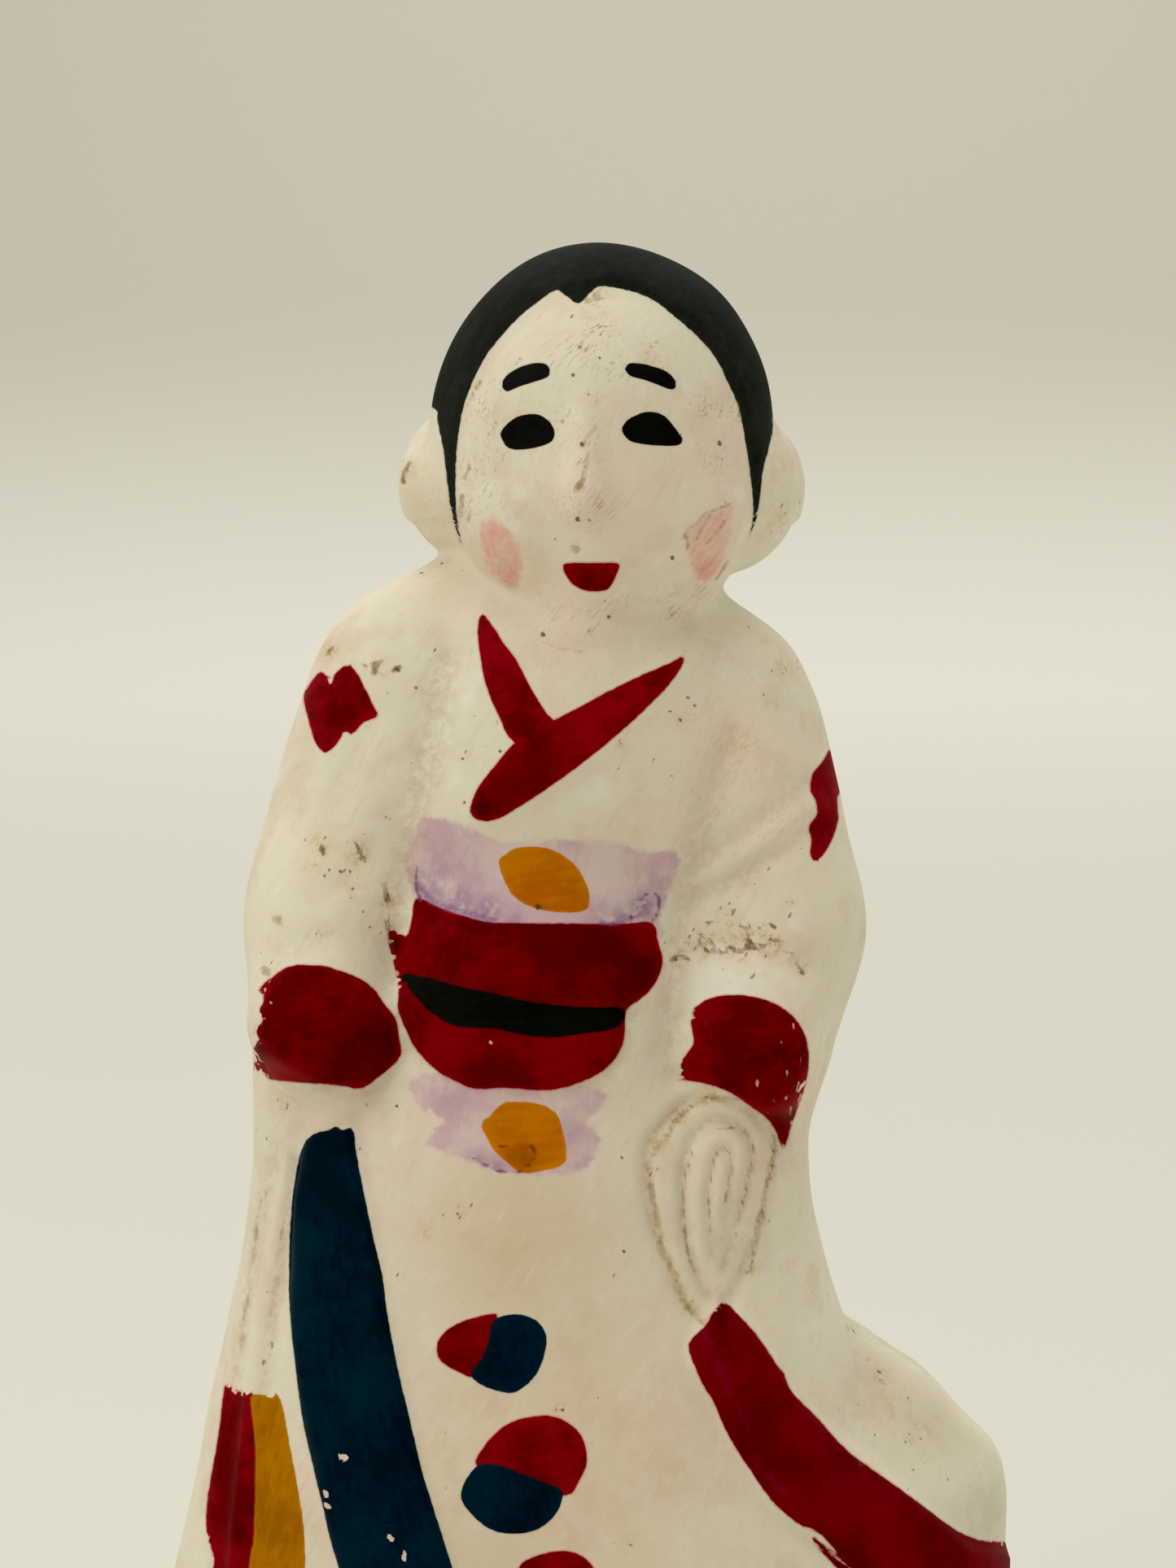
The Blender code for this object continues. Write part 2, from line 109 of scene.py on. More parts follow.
robeSections = (  # height, reach to the left, right, front and back, squareness
    (0.0, 54.0, 51.0, 33.0, 32.0, 2.3),
    (12.0, 53.0, 49.5, 31.5, 31.0, 2.3),
    (34.6, 50.6, 45.5, 28.5, 29.0, 2.3),
    (46.0, 48.0, 41.5, 26.5, 27.5, 2.3),
    (60.4, 44.9, 35.5, 23.5, 25.0, 2.3),
    (75.9, 41.7, 30.4, 20.0, 22.5, 2.3),
    (89.2, 40.2, 28.6, 16.5, 20.5, 2.3),
    (100.4, 40.3, 31.6, 14.0, 19.5, 2.3),
    (111.6, 40.5, 34.2, 13.5, 19.0, 2.2),
    (119.7, 40.1, 34.3, 13.5, 18.5, 2.2),
    (129.8, 38.0, 32.5, 14.0, 18.0, 2.1),
    (141.8, 34.1, 29.9, 14.0, 17.5, 2.0),
    (149.8, 30.9, 25.8, 13.5, 16.5, 2.0),
    (156.8, 24.9, 18.1, 11.5, 14.0, 2.0),
    (161.7, 16.4, 13.0, 9.5, 11.5, 2.0),
    (172.0, 9.0, 9.0, 7.0, 9.0, 2.0),
)
robeTop = 170.0

coreSections = (  # height, across, back, half width, half depth
    (0.0, 0.0, 0.0, 34.0, 14.0),
    (60.0, -2.0, 0.0, 29.0, 11.0),
    (95.0, -3.0, 0.0, 26.0, 8.0),
    (125.0, -3.0, -1.0, 26.0, 7.0),
    (148.0, 0.0, -1.0, 16.0, 6.0),
    (160.0, 2.0, -2.0, 7.0, 4.5),
    (170.0, 2.6, -3.0, 4.0, 4.0),
    (190.0, 2.6, -3.0, 1.5, 1.5),
    (198.3, 3.0, -3.0, 0.0, 0.0),
)

# Each mass: centre and half sizes as (across, back, up), and how softly it runs in.
bodyMasses = {
    "chest": {"centre": (-1.5, -5.0, 136.0), "half": (20.0, 14.0, 24.0), "blend": 4.0},
    "belly": {"centre": (-5.0, -6.0, 82.0), "half": (24.0, 14.0, 30.0), "blend": 6.0},
    "waist": {"centre": (-5.5, -5.5, 108.0), "half": (18.0, 16.0, 20.0), "blend": 4.0},
}
sashKnot = {"centre": (-2.0, 16.0, 112.0), "half": (14.0, 7.0, 11.5), "corner": 6.5, "blend": 3.0}
gatheredCloth = {"centre": (15.9, -9.8, 84.5), "half": (9.2, 8.2, 13.8), "blend": 1.6}
skull = {"centre": (3.0, -3.0, 176.5), "half": (20.0, 20.0, 21.8), "blend": 2.0, "deeper": 27.2 / 21.8}
headMasses = {
    "nose": {"centre": (1.0, -21.6, 169.3), "half": (2.6, 2.2, 3.4), "blend": 2.0},
    "noseBridge": {"centre": (1.0, -21.7, 174.0), "half": (1.6, 1.6, 5.5), "blend": 2.0},
    "leftCheek": {"centre": (-7.0, -12.4, 166.0), "half": (6.5, 6.5, 7.0), "blend": 3.0},
    "rightCheek": {"centre": (12.6, -12.4, 166.0), "half": (6.5, 6.5, 7.0), "blend": 3.0},
    "chin": {"centre": (1.5, -10.5, 154.5), "half": (7.0, 6.0, 5.0), "blend": 2.6},
    "napeRoll": {"centre": (2.8, 7.5, 169.0), "half": (14.0, 13.0, 12.5), "blend": 4.0},
    "leftSideLock": {"centre": (-11.4, 2.5, 170.2), "half": (9.9, 12.5, 9.9), "blend": 1.6},
    "rightSideLock": {"centre": (16.9, 2.5, 169.6), "half": (10.3, 12.5, 10.6), "blend": 1.6},
}
sleeves = (
    {"ends": ((-21.0, -1.0, 146.0), (-29.6, -3.0, 118.0)), "radii": (10.0, 9.8), "blend": 4.0},
    {"ends": ((-29.6, -3.0, 118.0), (-30.6, -9.0, 105.5)), "radii": (9.8, 9.4), "blend": 4.0},
    {"ends": ((17.0, -1.0, 144.0), (24.0, -3.0, 116.0)), "radii": (9.5, 9.8), "blend": 4.0},
    {"ends": ((24.0, -3.0, 116.0), (20.6, -9.5, 102.0)), "radii": (9.8, 8.8), "blend": 4.0},
)
train = {
    "centre": (34.0, 5.0, 0.0),
    "sections": (  # like the robe's, about its own middle
        (0.0, 19.0, 19.0, 19.3, 19.3, 2.0),
        (20.0, 19.8, 19.8, 20.2, 20.2, 2.0),
        (36.0, 20.4, 20.3, 20.8, 20.8, 2.0),
        (42.0, 20.2, 20.4, 20.4, 20.2, 2.0),
        (46.5, 19.0, 19.8, 19.4, 18.6, 2.0),
        (49.0, 18.0, 18.7, 18.0, 17.0, 2.0),
        (53.0, 15.0, 15.0, 15.5, 14.0, 2.0),
        (58.5, 10.5, 10.1, 12.0, 9.5, 2.0),
        (62.0, 6.0, 5.0, 8.0, 5.5, 2.0),
        (64.9, 2.0, 0.8, 3.0, 2.0, 2.0),
    ),
    "top": 64.9,
    "topBlend": 2.0,
    "lowBlend": 8.0,
    "blendHeights": (62.0, 44.0),
}

leftRobeEdge = {
    "sides": (  # height, left side, right side
        (0.0, -18.5, -4.5),
        (20.0, -22.5, -8.5),
        (43.0, -28.1, -14.7),
        (60.0, -32.4, -19.8),
        (72.0, -34.1, -22.5),
        (84.0, -34.1, -24.8),
        (91.0, -32.3, -26.0),
        (95.0, -29.0, -26.5),
    ),
    "rise": 1.5,
    "softness": 2.4,
}
rightRobeEdge = {
    "sides": (
        (26.0, 53.0, 62.0),
        (34.0, 42.0, 57.0),
        (41.3, 33.2, 47.0),
        (49.5, 23.6, 38.4),
        (56.0, 19.3, 31.3),
        (62.6, 15.8, 25.5),
        (67.0, 13.6, 22.9),
        (73.0, 15.6, 18.6),
    ),
    "rise": 1.5,
    "softness": 2.4,
}
frontFade = 12.0  # carving fades out over this depth about the widest line

# Carved lines on the front: a smooth curve through (across, up) points, a width and a depth.
# A negative depth is a raised line.
carvedLines = {
    "sleeveFoldOuter": (
        ((-36.7, 89.7), (-38.7, 81.0), (-40.3, 71.0), (-41.8, 61.0), (-44.5, 30.0), (-47.5, 2.0)), 1.4, 0.75,
    ),
    "sleeveRidge": (
        ((-35.2, 91.0), (-36.8, 80.0), (-38.4, 69.0), (-39.8, 60.0), (-42.3, 30.0), (-45.2, 2.0)), 1.2, -0.45,
    ),
    "sleeveFoldInner": (
        ((-34.2, 88.0), (-35.3, 81.8), (-36.5, 71.6), (-37.8, 61.0), (-40.0, 30.0), (-43.0, 2.0)), 1.2, 0.8,
    ),
    "clothRim": (
        (
            (15.6, 71.0), (13.2, 72.7), (9.9, 80.2), (8.3, 87.0), (9.0, 92.5), (14.5, 97.0),
            (20.5, 95.8), (23.6, 91.5), (22.6, 85.0), (20.2, 77.4), (17.2, 71.5),
        ),
        0.9,
        0.85,
    ),
    "clothLoop": (
        (
            (15.6, 73.5), (13.6, 78.0), (12.6, 85.0), (13.6, 92.0), (17.4, 94.5), (20.8, 91.5),
            (19.8, 84.5), (17.4, 76.5),
        ),
        0.8,
        0.9,
    ),
    "clothInnerLoop": (((16.2, 78.0), (15.7, 86.5), (17.2, 91.3), (18.4, 89.4), (17.4, 80.0)), 0.75, 0.75),
    "rightElbow": (((13.6, 113.7), (20.3, 115.5), (27.1, 112.8)), 1.8, 0.6),
    "leftElbow": (((-36.0, 113.5), (-29.5, 116.5), (-23.0, 114.0)), 2.2, 0.4),
    "leftChestFold": (((-15.8, 149.0), (-17.8, 137.0), (-20.8, 124.0), (-21.8, 112.0)), 2.8, 0.9),
    "rightChestFold": (((17.8, 139.0), (14.0, 125.0), (11.4, 113.0), (11.6, 103.0)), 2.4, 0.7),
    "rightUpperFold": (((18.1, 141.0), (15.5, 135.0), (12.4, 127.5)), 1.9, 0.6),
    "rightMiddleFold": (((28.0, 134.3), (20.4, 129.0), (12.9, 123.6)), 1.6, 0.6),
    "rightMiddleRidge": (((28.8, 131.9), (21.2, 127.0), (13.8, 122.0)), 1.1, -0.35),
    "rightLowerFold": (((29.2, 129.6), (21.9, 124.8), (14.4, 120.3)), 1.5, 0.6),
    "underChin": (
        (
            (-14.5, 166.4), (-11.0, 161.6), (-6.0, 157.3), (1.0, 155.0), (9.0, 155.8), (14.0, 159.0),
            (18.0, 164.0),
        ),
        1.5, 0.45,
    ),
    "leftUpperFold": (((-24.6, 142.6), (-27.1, 136.8), (-29.1, 130.9)), 2.0, 0.4),
    "leftLowerFold": (((-22.5, 131.0), (-26.0, 124.5), (-31.5, 120.5)), 1.8, 0.3),
    "underSash": (((-21.3, 106.0), (-17.0, 100.6), (-5.0, 98.6), (3.5, 101.0), (6.5, 107.5)), 1.3, 0.7),
    "underLeftCuff": (((-37.5, 100.5), (-31.7, 98.4), (-25.5, 98.4), (-20.6, 102.5)), 1.4, 0.8),
    "underRightCuff": (((11.5, 99.8), (17.5, 98.2), (22.5, 94.8), (25.0, 91.0)), 1.2, 0.8),
    "leftCollar": (((-11.4, 154.0), (-7.0, 148.0), (-3.0, 141.0)), 2.2, -0.7),
    "rightCollar": (((12.0, 149.0), (4.5, 141.5), (-4.0, 136.0), (-11.0, 131.5)), 2.4, -0.8),
}
pathSteps = 8
eyeHollows = {"places": ((-5.8, 175.6), (8.6, 175.9)), "width": 4.6, "depth": 0.6}
combedHair = {
    "centre": (3.2, 168.0),
    "half": (17.4, 24.0),
    "lowest": 165.0,
    "rise": 0.7,
    "softness": 1.2,
}
handPressing = {  # mm
    "depth": 0.12,
    "waves": 14,
    "shortest": 9.0,
    "longest": 26.0,
    "fadeIn": 6.0,  # above the hem
    "seed": 4,
}


def smoothCurve(at, points):
    # a curve through (height, value) points that doesn't overshoot
    heights, values = np.array(points, float).T
    steps = np.diff(heights)
    slopes = np.diff(values) / steps
    tangents = np.zeros(len(values))
    sameWay = slopes[:-1] * slopes[1:] > 0
    before = 2 * steps[1:] + steps[:-1]
    after = steps[1:] + 2 * steps[:-1]
    product = np.where(sameWay, slopes[:-1] * slopes[1:], 1.0)
    below = np.where(sameWay, before * slopes[1:] + after * slopes[:-1], 1.0)
    tangents[1:-1] = np.where(sameWay, (before + after) * product / below, 0.0)
    tangents[0], tangents[-1] = slopes[0], slopes[-1]
    at = np.clip(at, heights[0], heights[-1])
    k = np.clip(np.searchsorted(heights, at, side="right") - 1, 0, len(steps) - 1)
    h = steps[k]
    t = (at - heights[k]) / h
    return (
        values[k] * (1 + 2 * t) * (1 - t) ** 2
        + tangents[k] * h * t * (1 - t) ** 2
        + values[k + 1] * t * t * (3 - 2 * t)
        + tangents[k + 1] * h * t * t * (t - 1)
    )


def smoothStep(share):
    share = np.clip(share, 0, 1)
    return share * share * (3 - 2 * share)


def column(table, index):
    return [(row[0], row[index]) for row in table]


def runTogether(a, b, blend):
    overlap = np.maximum(blend - np.abs(a - b), 0) / blend
    return np.minimum(a, b) - overlap * overlap * blend / 4


def egg(points, centre, half):
    scaled = (points - centre) / half
    reach = np.linalg.norm(scaled, axis=1)
    slope = np.linalg.norm(scaled / half, axis=1)
    return reach * (reach - 1) / np.maximum(slope, 1e-6)


def taperedBar(points, ends, radii):
    start, end = (np.array(p) for p in ends)
    along = end - start
    share = np.clip((points - start) @ along / (along @ along), 0, 1)
    radius = radii[0] + (radii[1] - radii[0]) * share
    return np.linalg.norm(points - start - share[:, None] * along, axis=1) - radius


def cushion(points, centre, half, corner):
    beyond = np.abs(points - centre) - (np.array(half) - corner)
    return np.linalg.norm(np.maximum(beyond, 0), axis=1) + np.minimum(beyond.max(axis=1), 0) - corner


def stackedOvals(points, sections, top):
    height = points[:, 2]
    left, right, front, back, square = (smoothCurve(height, column(sections, k)) for k in range(1, 6))
    wide = np.where(points[:, 0] < 0, left, right)
    deep = np.where(points[:, 1] < 0, front, back)
    fold = (np.abs(points[:, 0] / wide) ** square + np.abs(points[:, 1] / deep) ** square) ** (1 / square)
    reach = np.hypot(points[:, 0], points[:, 1])
    return np.maximum(reach * (1 - 1 / np.maximum(fold, 1e-3)), height - top)


def skullDistance(points):
    longer = np.where(points[:, 2] < skull["centre"][2], skull["deeper"], 1.0)
    half = np.array(skull["half"]) * np.stack([np.ones_like(longer), np.ones_like(longer), longer], 1)
    return egg(points, skull["centre"], half)


def trainBlend(points):
    top, low = train["blendHeights"]
    share = smoothStep((top - points[:, 2]) / (top - low))
    return train["topBlend"] + (train["lowBlend"] - train["topBlend"]) * share


def figureDistance(points):
    robe = stackedOvals(points, robeSections, robeTop)
    side = stackedOvals(points - train["centre"], train["sections"], train["top"])
    body = runTogether(robe, side, trainBlend(points))
    for mass in bodyMasses.values():
        body = runTogether(body, egg(points, mass["centre"], mass["half"]), mass["blend"])
    knot = cushion(points, sashKnot["centre"], sashKnot["half"], sashKnot["corner"])
    body = runTogether(body, knot, sashKnot["blend"])
    for bar in sleeves:
        body = runTogether(body, taperedBar(points, bar["ends"], bar["radii"]), bar["blend"])
    cloth = egg(points, gatheredCloth["centre"], gatheredCloth["half"])
    body = runTogether(body, cloth, gatheredCloth["blend"])
    head = skullDistance(points)
    for mass in headMasses.values():
        head = runTogether(head, egg(points, mass["centre"], mass["half"]), mass["blend"])
    return runTogether(body, head, skull["blend"])


def raisedEdge(points, edge):
    height = points[:, 2]
    sides, soft = edge["sides"], edge["softness"]
    left = smoothCurve(height, column(sides, 1))
    right = smoothCurve(height, column(sides, 2))
    inside = smoothStep((points[:, 0] - left) / soft + 0.5) * smoothStep((right - points[:, 0]) / soft + 0.5)
    ends = smoothStep((height - sides[0][0]) / soft + 1) * smoothStep((sides[-1][0] - height) / soft)
    return edge["rise"] * inside * ends * smoothStep(0.5 - points[:, 1] / frontFade)


def smoothPath(points, closed=False, steps=pathSteps):
    # a Catmull-Rom curve through the points, as short straight pieces
    points = np.array(points, float)
    if closed:
        ends = np.concatenate([points[-1:], points, points[:2]])
    else:
        ends = np.concatenate([[2 * points[0] - points[1]], points, [2 * points[-1] - points[-2]]])
    t = np.linspace(0, 1, steps, endpoint=False)[:, None]
    spans = []
    for before, start, end, after in zip(ends, ends[1:], ends[2:], ends[3:]):
        bend = (2 * before - 5 * start + 4 * end - after) * t**2 + (3 * (start - end) + after - before) * t**3
        spans.append(start + 0.5 * ((end - before) * t + bend))
    spans.append(points[:1] if closed else points[-1:])
    return np.concatenate(spans)


def distanceToPath(flat, path):
    nearest = np.full(len(flat), np.inf)
    for start, end in zip(path, path[1:]):
        along = end - start
        share = np.clip((flat - start) @ along / max(along @ along, 1e-9), 0, 1)
        nearest = np.minimum(nearest, np.linalg.norm(flat - start - share[:, None] * along, axis=1))
    return nearest


def carving(points):
    flat = points[:, [0, 2]]
    depth = np.zeros(len(points))
    for path, width, deep in carvedLines.values():
        away = distanceToPath(flat, smoothPath(path)) / width
        depth -= deep * np.exp(-away * away)
    for hollow in eyeHollows["places"]:
        away = np.linalg.norm(flat - hollow, axis=1) / eyeHollows["width"]
        depth -= eyeHollows["depth"] * np.exp(-away * away)
    return depth * smoothStep(0.5 - points[:, 1] / frontFade)


def hairRise(points):
    oval = np.hypot(*((points[:, [0, 2]] - combedHair["centre"]) / combedHair["half"]).T)
    beyond = smoothStep((oval - 1) * combedHair["half"][0] / combedHair["softness"])
    behind = smoothStep(points[:, 1] / combedHair["softness"])
    above = smoothStep((points[:, 2] - combedHair["lowest"]) / combedHair["softness"])
    return combedHair["rise"] * np.maximum(beyond, behind) * above


def pressingMarks(points):
    # soft uneven waves left by the fingers that pressed the clay
    random = np.random.default_rng(handPressing["seed"])
    total = np.zeros(len(points))
    for _ in range(handPressing["waves"]):
        direction = random.normal(size=3)
        direction /= np.linalg.norm(direction)
        length = random.uniform(handPressing["shortest"], handPressing["longest"])
        total += np.sin(points @ direction * math.tau / length + random.uniform(0, math.tau))
    return handPressing["depth"] * total / math.sqrt(handPressing["waves"])


def ringHeights():
    zones = [np.linspace(low, high, count, endpoint=False) for low, high, count in ringPlan["zones"]]
    widest, top = skull["centre"][2], skull["centre"][2] + skull["half"][2]
    turn = np.linspace(0, math.pi / 2, ringPlan["crownRings"] + 1)[:-1]
    return np.concatenate([*zones, widest + (top - widest) * np.sin(turn)])


def coreRays(heights):
    across, back, wide, deep = (smoothCurve(heights, column(coreSections, k))[:, None] for k in range(1, 5))
    turn = np.arange(ringPlan["points"]) * math.tau / ringPlan["points"]
    turn = (turn + ringPlan["frontCrowding"] * np.sin(turn))[None, :]
    level = np.zeros_like(across * turn)
    starts = np.stack([across + wide * np.sin(turn), back + deep * np.cos(turn), heights[:, None] + level], 2)
    narrow = deep / np.maximum(wide, 1e-9)
    rays = np.stack([narrow * np.sin(turn), np.cos(turn) + level, level], 2)
    rays /= np.linalg.norm(rays, axis=2)[:, :, None]
    return starts.reshape(-1, 3), rays.reshape(-1, 3)


def figureRings():
    # the figure's rings, the hem's plain ring, and how proud each point of the rings stands
    heights = ringHeights()
    starts, rays = coreRays(heights)
    reach = np.full(len(rays), ringPlan["start"])
    for _ in range(ringPlan["steps"]):
        reach -= ringPlan["share"] * figureDistance(starts + rays * reach[:, None])
    surface = starts + rays * reach[:, None]
    lean = (surface - skull["centre"]) / np.square(skull["half"])
    lean /= np.linalg.norm(lean, axis=1)[:, None]
    outward = np.where(surface[:, 2:] > skull["centre"][2], lean, rays)
    rise = raisedEdge(surface, leftRobeEdge) + raisedEdge(surface, rightRobeEdge)
    rise += carving(surface) + hairRise(surface)
    rise += pressingMarks(surface) * smoothStep(surface[:, 2] / handPressing["fadeIn"])
    shape = (len(heights), ringPlan["points"], 3)
    return (surface + outward * rise[:, None]).reshape(shape), surface[: ringPlan["points"]]


def slabRings(hem):
    centre = hem.mean(axis=0)
    outward = hem - centre
    outward[:, 2] = 0
    outward /= np.linalg.norm(outward, axis=1)[:, None]
    turn = np.linspace(0, math.pi / 2, slab["roundSteps"] + 1)
    inset = slab["round"] * (1 - np.sin(turn))
    lift = slab["round"] * (1 - np.cos(turn))
    levels = list(zip(lift, slab["margin"] - inset))
    levels += [(slab["height"] - h, beyond) for h, beyond in reversed(levels)]
    rings = []
    for height, beyond in levels:
        ring = hem + outward * beyond
        ring[:, 2] = height
        rings.append(ring)
    return np.array(rings)


def dollRings():
    # all rings in mm, with the middle of the underside at the origin, and the crown's point
    rings, hem = figureRings()
    rings[:, :, 2] += slab["height"]
    rings = np.concatenate([slabRings(hem), rings])
    middle = (rings[0].min(axis=0) + rings[0].max(axis=0)) / 2
    middle[2] = 0
    top = skull["centre"][2] + skull["half"][2] + combedHair["rise"] + slab["height"]
    return rings - middle, np.array([*skull["centre"][:2], top]) - middle


def bridgeRings(rings, crown):
    mesh = bmesh.new()
    rows = [[mesh.verts.new(point) for point in ring] for ring in rings * mm]
    top = mesh.verts.new(crown * mm)
    count = ringPlan["points"]
    mesh.faces.new(rows[0])
    for lower, upper in zip(rows, rows[1:]):
        for k in range(count):
            after = (k + 1) % count
            mesh.faces.new((lower[k], lower[after], upper[after], upper[k]))
    for k in range(count):
        mesh.faces.new((rows[-1][k], rows[-1][(k + 1) % count], top))
    bmesh.ops.recalc_face_normals(mesh, faces=mesh.faces[:])
    data = bpy.data.meshes.new("paintedClayDoll")
    mesh.to_mesh(data)
    mesh.free()
    data.polygons.foreach_set("use_smooth", [True] * len(data.polygons))
    return data


rings, crownPoint = dollRings()
dollMesh = bridgeRings(rings, crownPoint)
dollPoints = np.concatenate([rings.reshape(-1, 3), crownPoint[None, :]])
print("form bridged from", len(rings), "rings")


# Paint outlines, drawn over the photograph's frame: each is (x, y) pixels going round.
# Beyond y = 1927 they run on down to the hem, which the photograph cuts off.
hairOutlines = {
    "cap": (
        (568, 672), (557, 640), (551, 604), (545, 556), (538, 520), (535, 503), (505, 485), (512, 430),
        (545, 370), (590, 315), (650, 280), (733, 265), (815, 280), (885, 325), (940, 395), (968, 450),
        (978, 495), (951, 507), (950, 526), (945, 550), (937, 580), (934, 610), (930, 634), (920, 663),
        (925, 637), (925, 616), (922, 586), (918, 556), (913, 526), (906, 496), (894, 469), (882, 445),
        (867, 424), (843, 401), (806, 371), (779, 359), (756, 354), (737, 352), (725, 360), (711, 373),
        (693, 362), (683, 357), (653, 377), (627, 401), (600, 433), (585, 460), (576, 481), (570, 499),
        (563, 535), (560, 580), (561, 631),
    ),
}
inkOutlines = {
    "leftBrow": (
        (617, 470), (618, 478), (624, 481), (636, 476), (654, 470), (672, 464), (676, 457), (672, 448),
        (657, 446), (639, 451), (624, 460),
    ),
    "rightBrow": (
        (768, 456), (771, 448), (780, 446), (798, 449), (816, 455), (828, 464), (831, 474), (825, 479),
        (813, 475), (795, 468), (777, 463),
    ),
    "leftEye": (
        (615, 532), (624, 520), (639, 511), (660, 509), (675, 518), (681, 529), (680, 540), (672, 546),
        (654, 551), (636, 553), (624, 550), (618, 542),
    ),
    "rightEye": (
        (764, 529), (769, 518), (780, 511), (795, 506), (813, 509), (825, 520), (834, 532), (839, 540),
        (834, 547), (816, 548), (792, 546), (774, 542),
    ),
    "sashCord": (
        (491, 1198), (524, 1201), (564, 1212), (607, 1221), (650, 1231), (706, 1237), (735, 1238),
        (760, 1238), (769, 1244), (763, 1259), (746, 1266), (706, 1272), (678, 1275), (644, 1272),
        (607, 1264), (564, 1262), (536, 1249), (513, 1227),
    ),
}
redOutlines = {
    "mouth": (
        (692, 696), (697, 692), (729, 692), (757, 692), (761, 697), (756, 709), (749, 722), (741, 726),
        (720, 726), (704, 718), (695, 706),
    ),
    "leftCollar": (
        (593, 755), (609, 775), (618, 789), (636, 814), (652, 845), (671, 876), (684, 895), (634, 912),
        (613, 880), (597, 841), (589, 798), (587, 772),
    ),
    "rightCollar": (
        (840, 806), (836, 822), (819, 845), (788, 876), (749, 911), (710, 942), (671, 970), (636, 993),
        (613, 1006), (593, 1009), (580, 1003), (578, 991), (589, 966), (613, 935), (635, 911), (678, 887),
        (714, 868), (749, 849), (788, 830), (823, 815),
    ),
    "leftShoulder": (
        (393, 826), (380, 842), (373, 857), (379, 884), (387, 911), (398, 925), (408, 920), (416, 911),
        (424, 899), (433, 902), (447, 888), (464, 880), (459, 868), (447, 843), (439, 828), (428, 817),
        (412, 828), (406, 843), (402, 832),
    ),
    "rightShoulder": (
        (1022, 920), (1034, 934), (1040, 958), (1029, 979), (1030, 1005), (1024, 1028), (1012, 1050),
        (1004, 1060), (996, 1052), (997, 1032), (994, 1016), (1004, 1000), (1002, 983), (996, 972),
        (998, 952), (1010, 937),
    ),
    "sash": (
        (512, 1104), (542, 1116), (581, 1129), (613, 1134), (690, 1135), (768, 1135), (801, 1134),
        (808, 1155), (814, 1180), (808, 1203), (792, 1224), (770, 1241), (768, 1266), (763, 1289),
        (746, 1312), (721, 1327), (692, 1337), (661, 1340), (622, 1337), (584, 1338), (556, 1327),
        (536, 1315), (513, 1292), (499, 1266), (489, 1240), (490, 1215), (484, 1184), (478, 1160),
        (479, 1141), (492, 1148), (500, 1150), (506, 1130),
    ),
    "leftCuff": (
        (350, 1190), (365, 1186), (379, 1186), (399, 1187), (414, 1192), (439, 1201), (459, 1215),
        (473, 1235), (486, 1252), (490, 1272), (493, 1292), (489, 1303), (476, 1315), (462, 1326),
        (448, 1336), (436, 1338), (425, 1335), (394, 1332), (365, 1330), (330, 1326), (326, 1318),
        (310, 1313), (315, 1302), (312, 1288), (319, 1276), (312, 1267), (324, 1254), (318, 1244),
        (325, 1226), (318, 1216), (334, 1201),
    ),
    "rightCuff": (
        (856, 1237), (870, 1228), (892, 1223), (920, 1224), (946, 1231), (970, 1245), (988, 1270),
        (994, 1303), (988, 1338), (974, 1378), (964, 1410), (957, 1402), (954, 1392), (942, 1374),
        (920, 1358), (896, 1342), (864, 1331), (832, 1326), (838, 1320), (837, 1306), (851, 1285),
        (852, 1274), (849, 1253), (857, 1247), (850, 1243),
    ),
    "dotOne": (
        (538, 1648), (560, 1628), (597, 1616), (612, 1618), (606, 1650), (584, 1690), (568, 1688),
        (541, 1672),
    ),
    "dotTwo": (
        (660, 1740), (690, 1744), (714, 1764), (721, 1795), (713, 1817), (695, 1838), (640, 1822),
        (586, 1804), (596, 1776), (624, 1750),
    ),
    "dotThree": (
        (637, 1936), (646, 1918), (687, 1906), (718, 1914), (735, 1940), (732, 1978), (700, 1994),
        (650, 1974),
    ),
    "dotFour": (
        (560, 2120), (600, 2095), (640, 2100), (648, 2130), (624, 2168), (585, 2175), (562, 2155),
    ),
    "leftStripe": (
        (277, 1701), (288, 1708), (300, 1712), (312, 1716), (318, 1778), (318, 1830), (316, 1885),
        (309, 1927), (300, 2040), (288, 2150), (262, 2160), (228, 2150), (232, 2040), (262, 1927),
        (254, 1885), (255, 1842), (266, 1778), (272, 1735),
    ),
}
wineOutlines = {
    "trainBand": (
        (890, 1601), (875, 1615), (868, 1628), (847, 1650), (849, 1667), (864, 1702), (877, 1723),
        (890, 1754), (907, 1784), (933, 1823), (951, 1847), (981, 1873), (1007, 1884), (1046, 1927),
        (1105, 1978), (1180, 2022), (1270, 2058), (1310, 1990), (1262, 1905), (1224, 1895), (1202, 1892),
        (1172, 1879), (1120, 1840), (1072, 1806), (1038, 1780), (1003, 1741), (972, 1710), (964, 1689),
        (955, 1678), (933, 1645), (910, 1619),
    ),
    "trainLine": (
        (997, 1885), (1010, 1898), (1026, 1914), (1044, 1927), (1072, 1952), (1066, 1956), (1036, 1934),
        (1016, 1914), (1002, 1898),
    ),
}
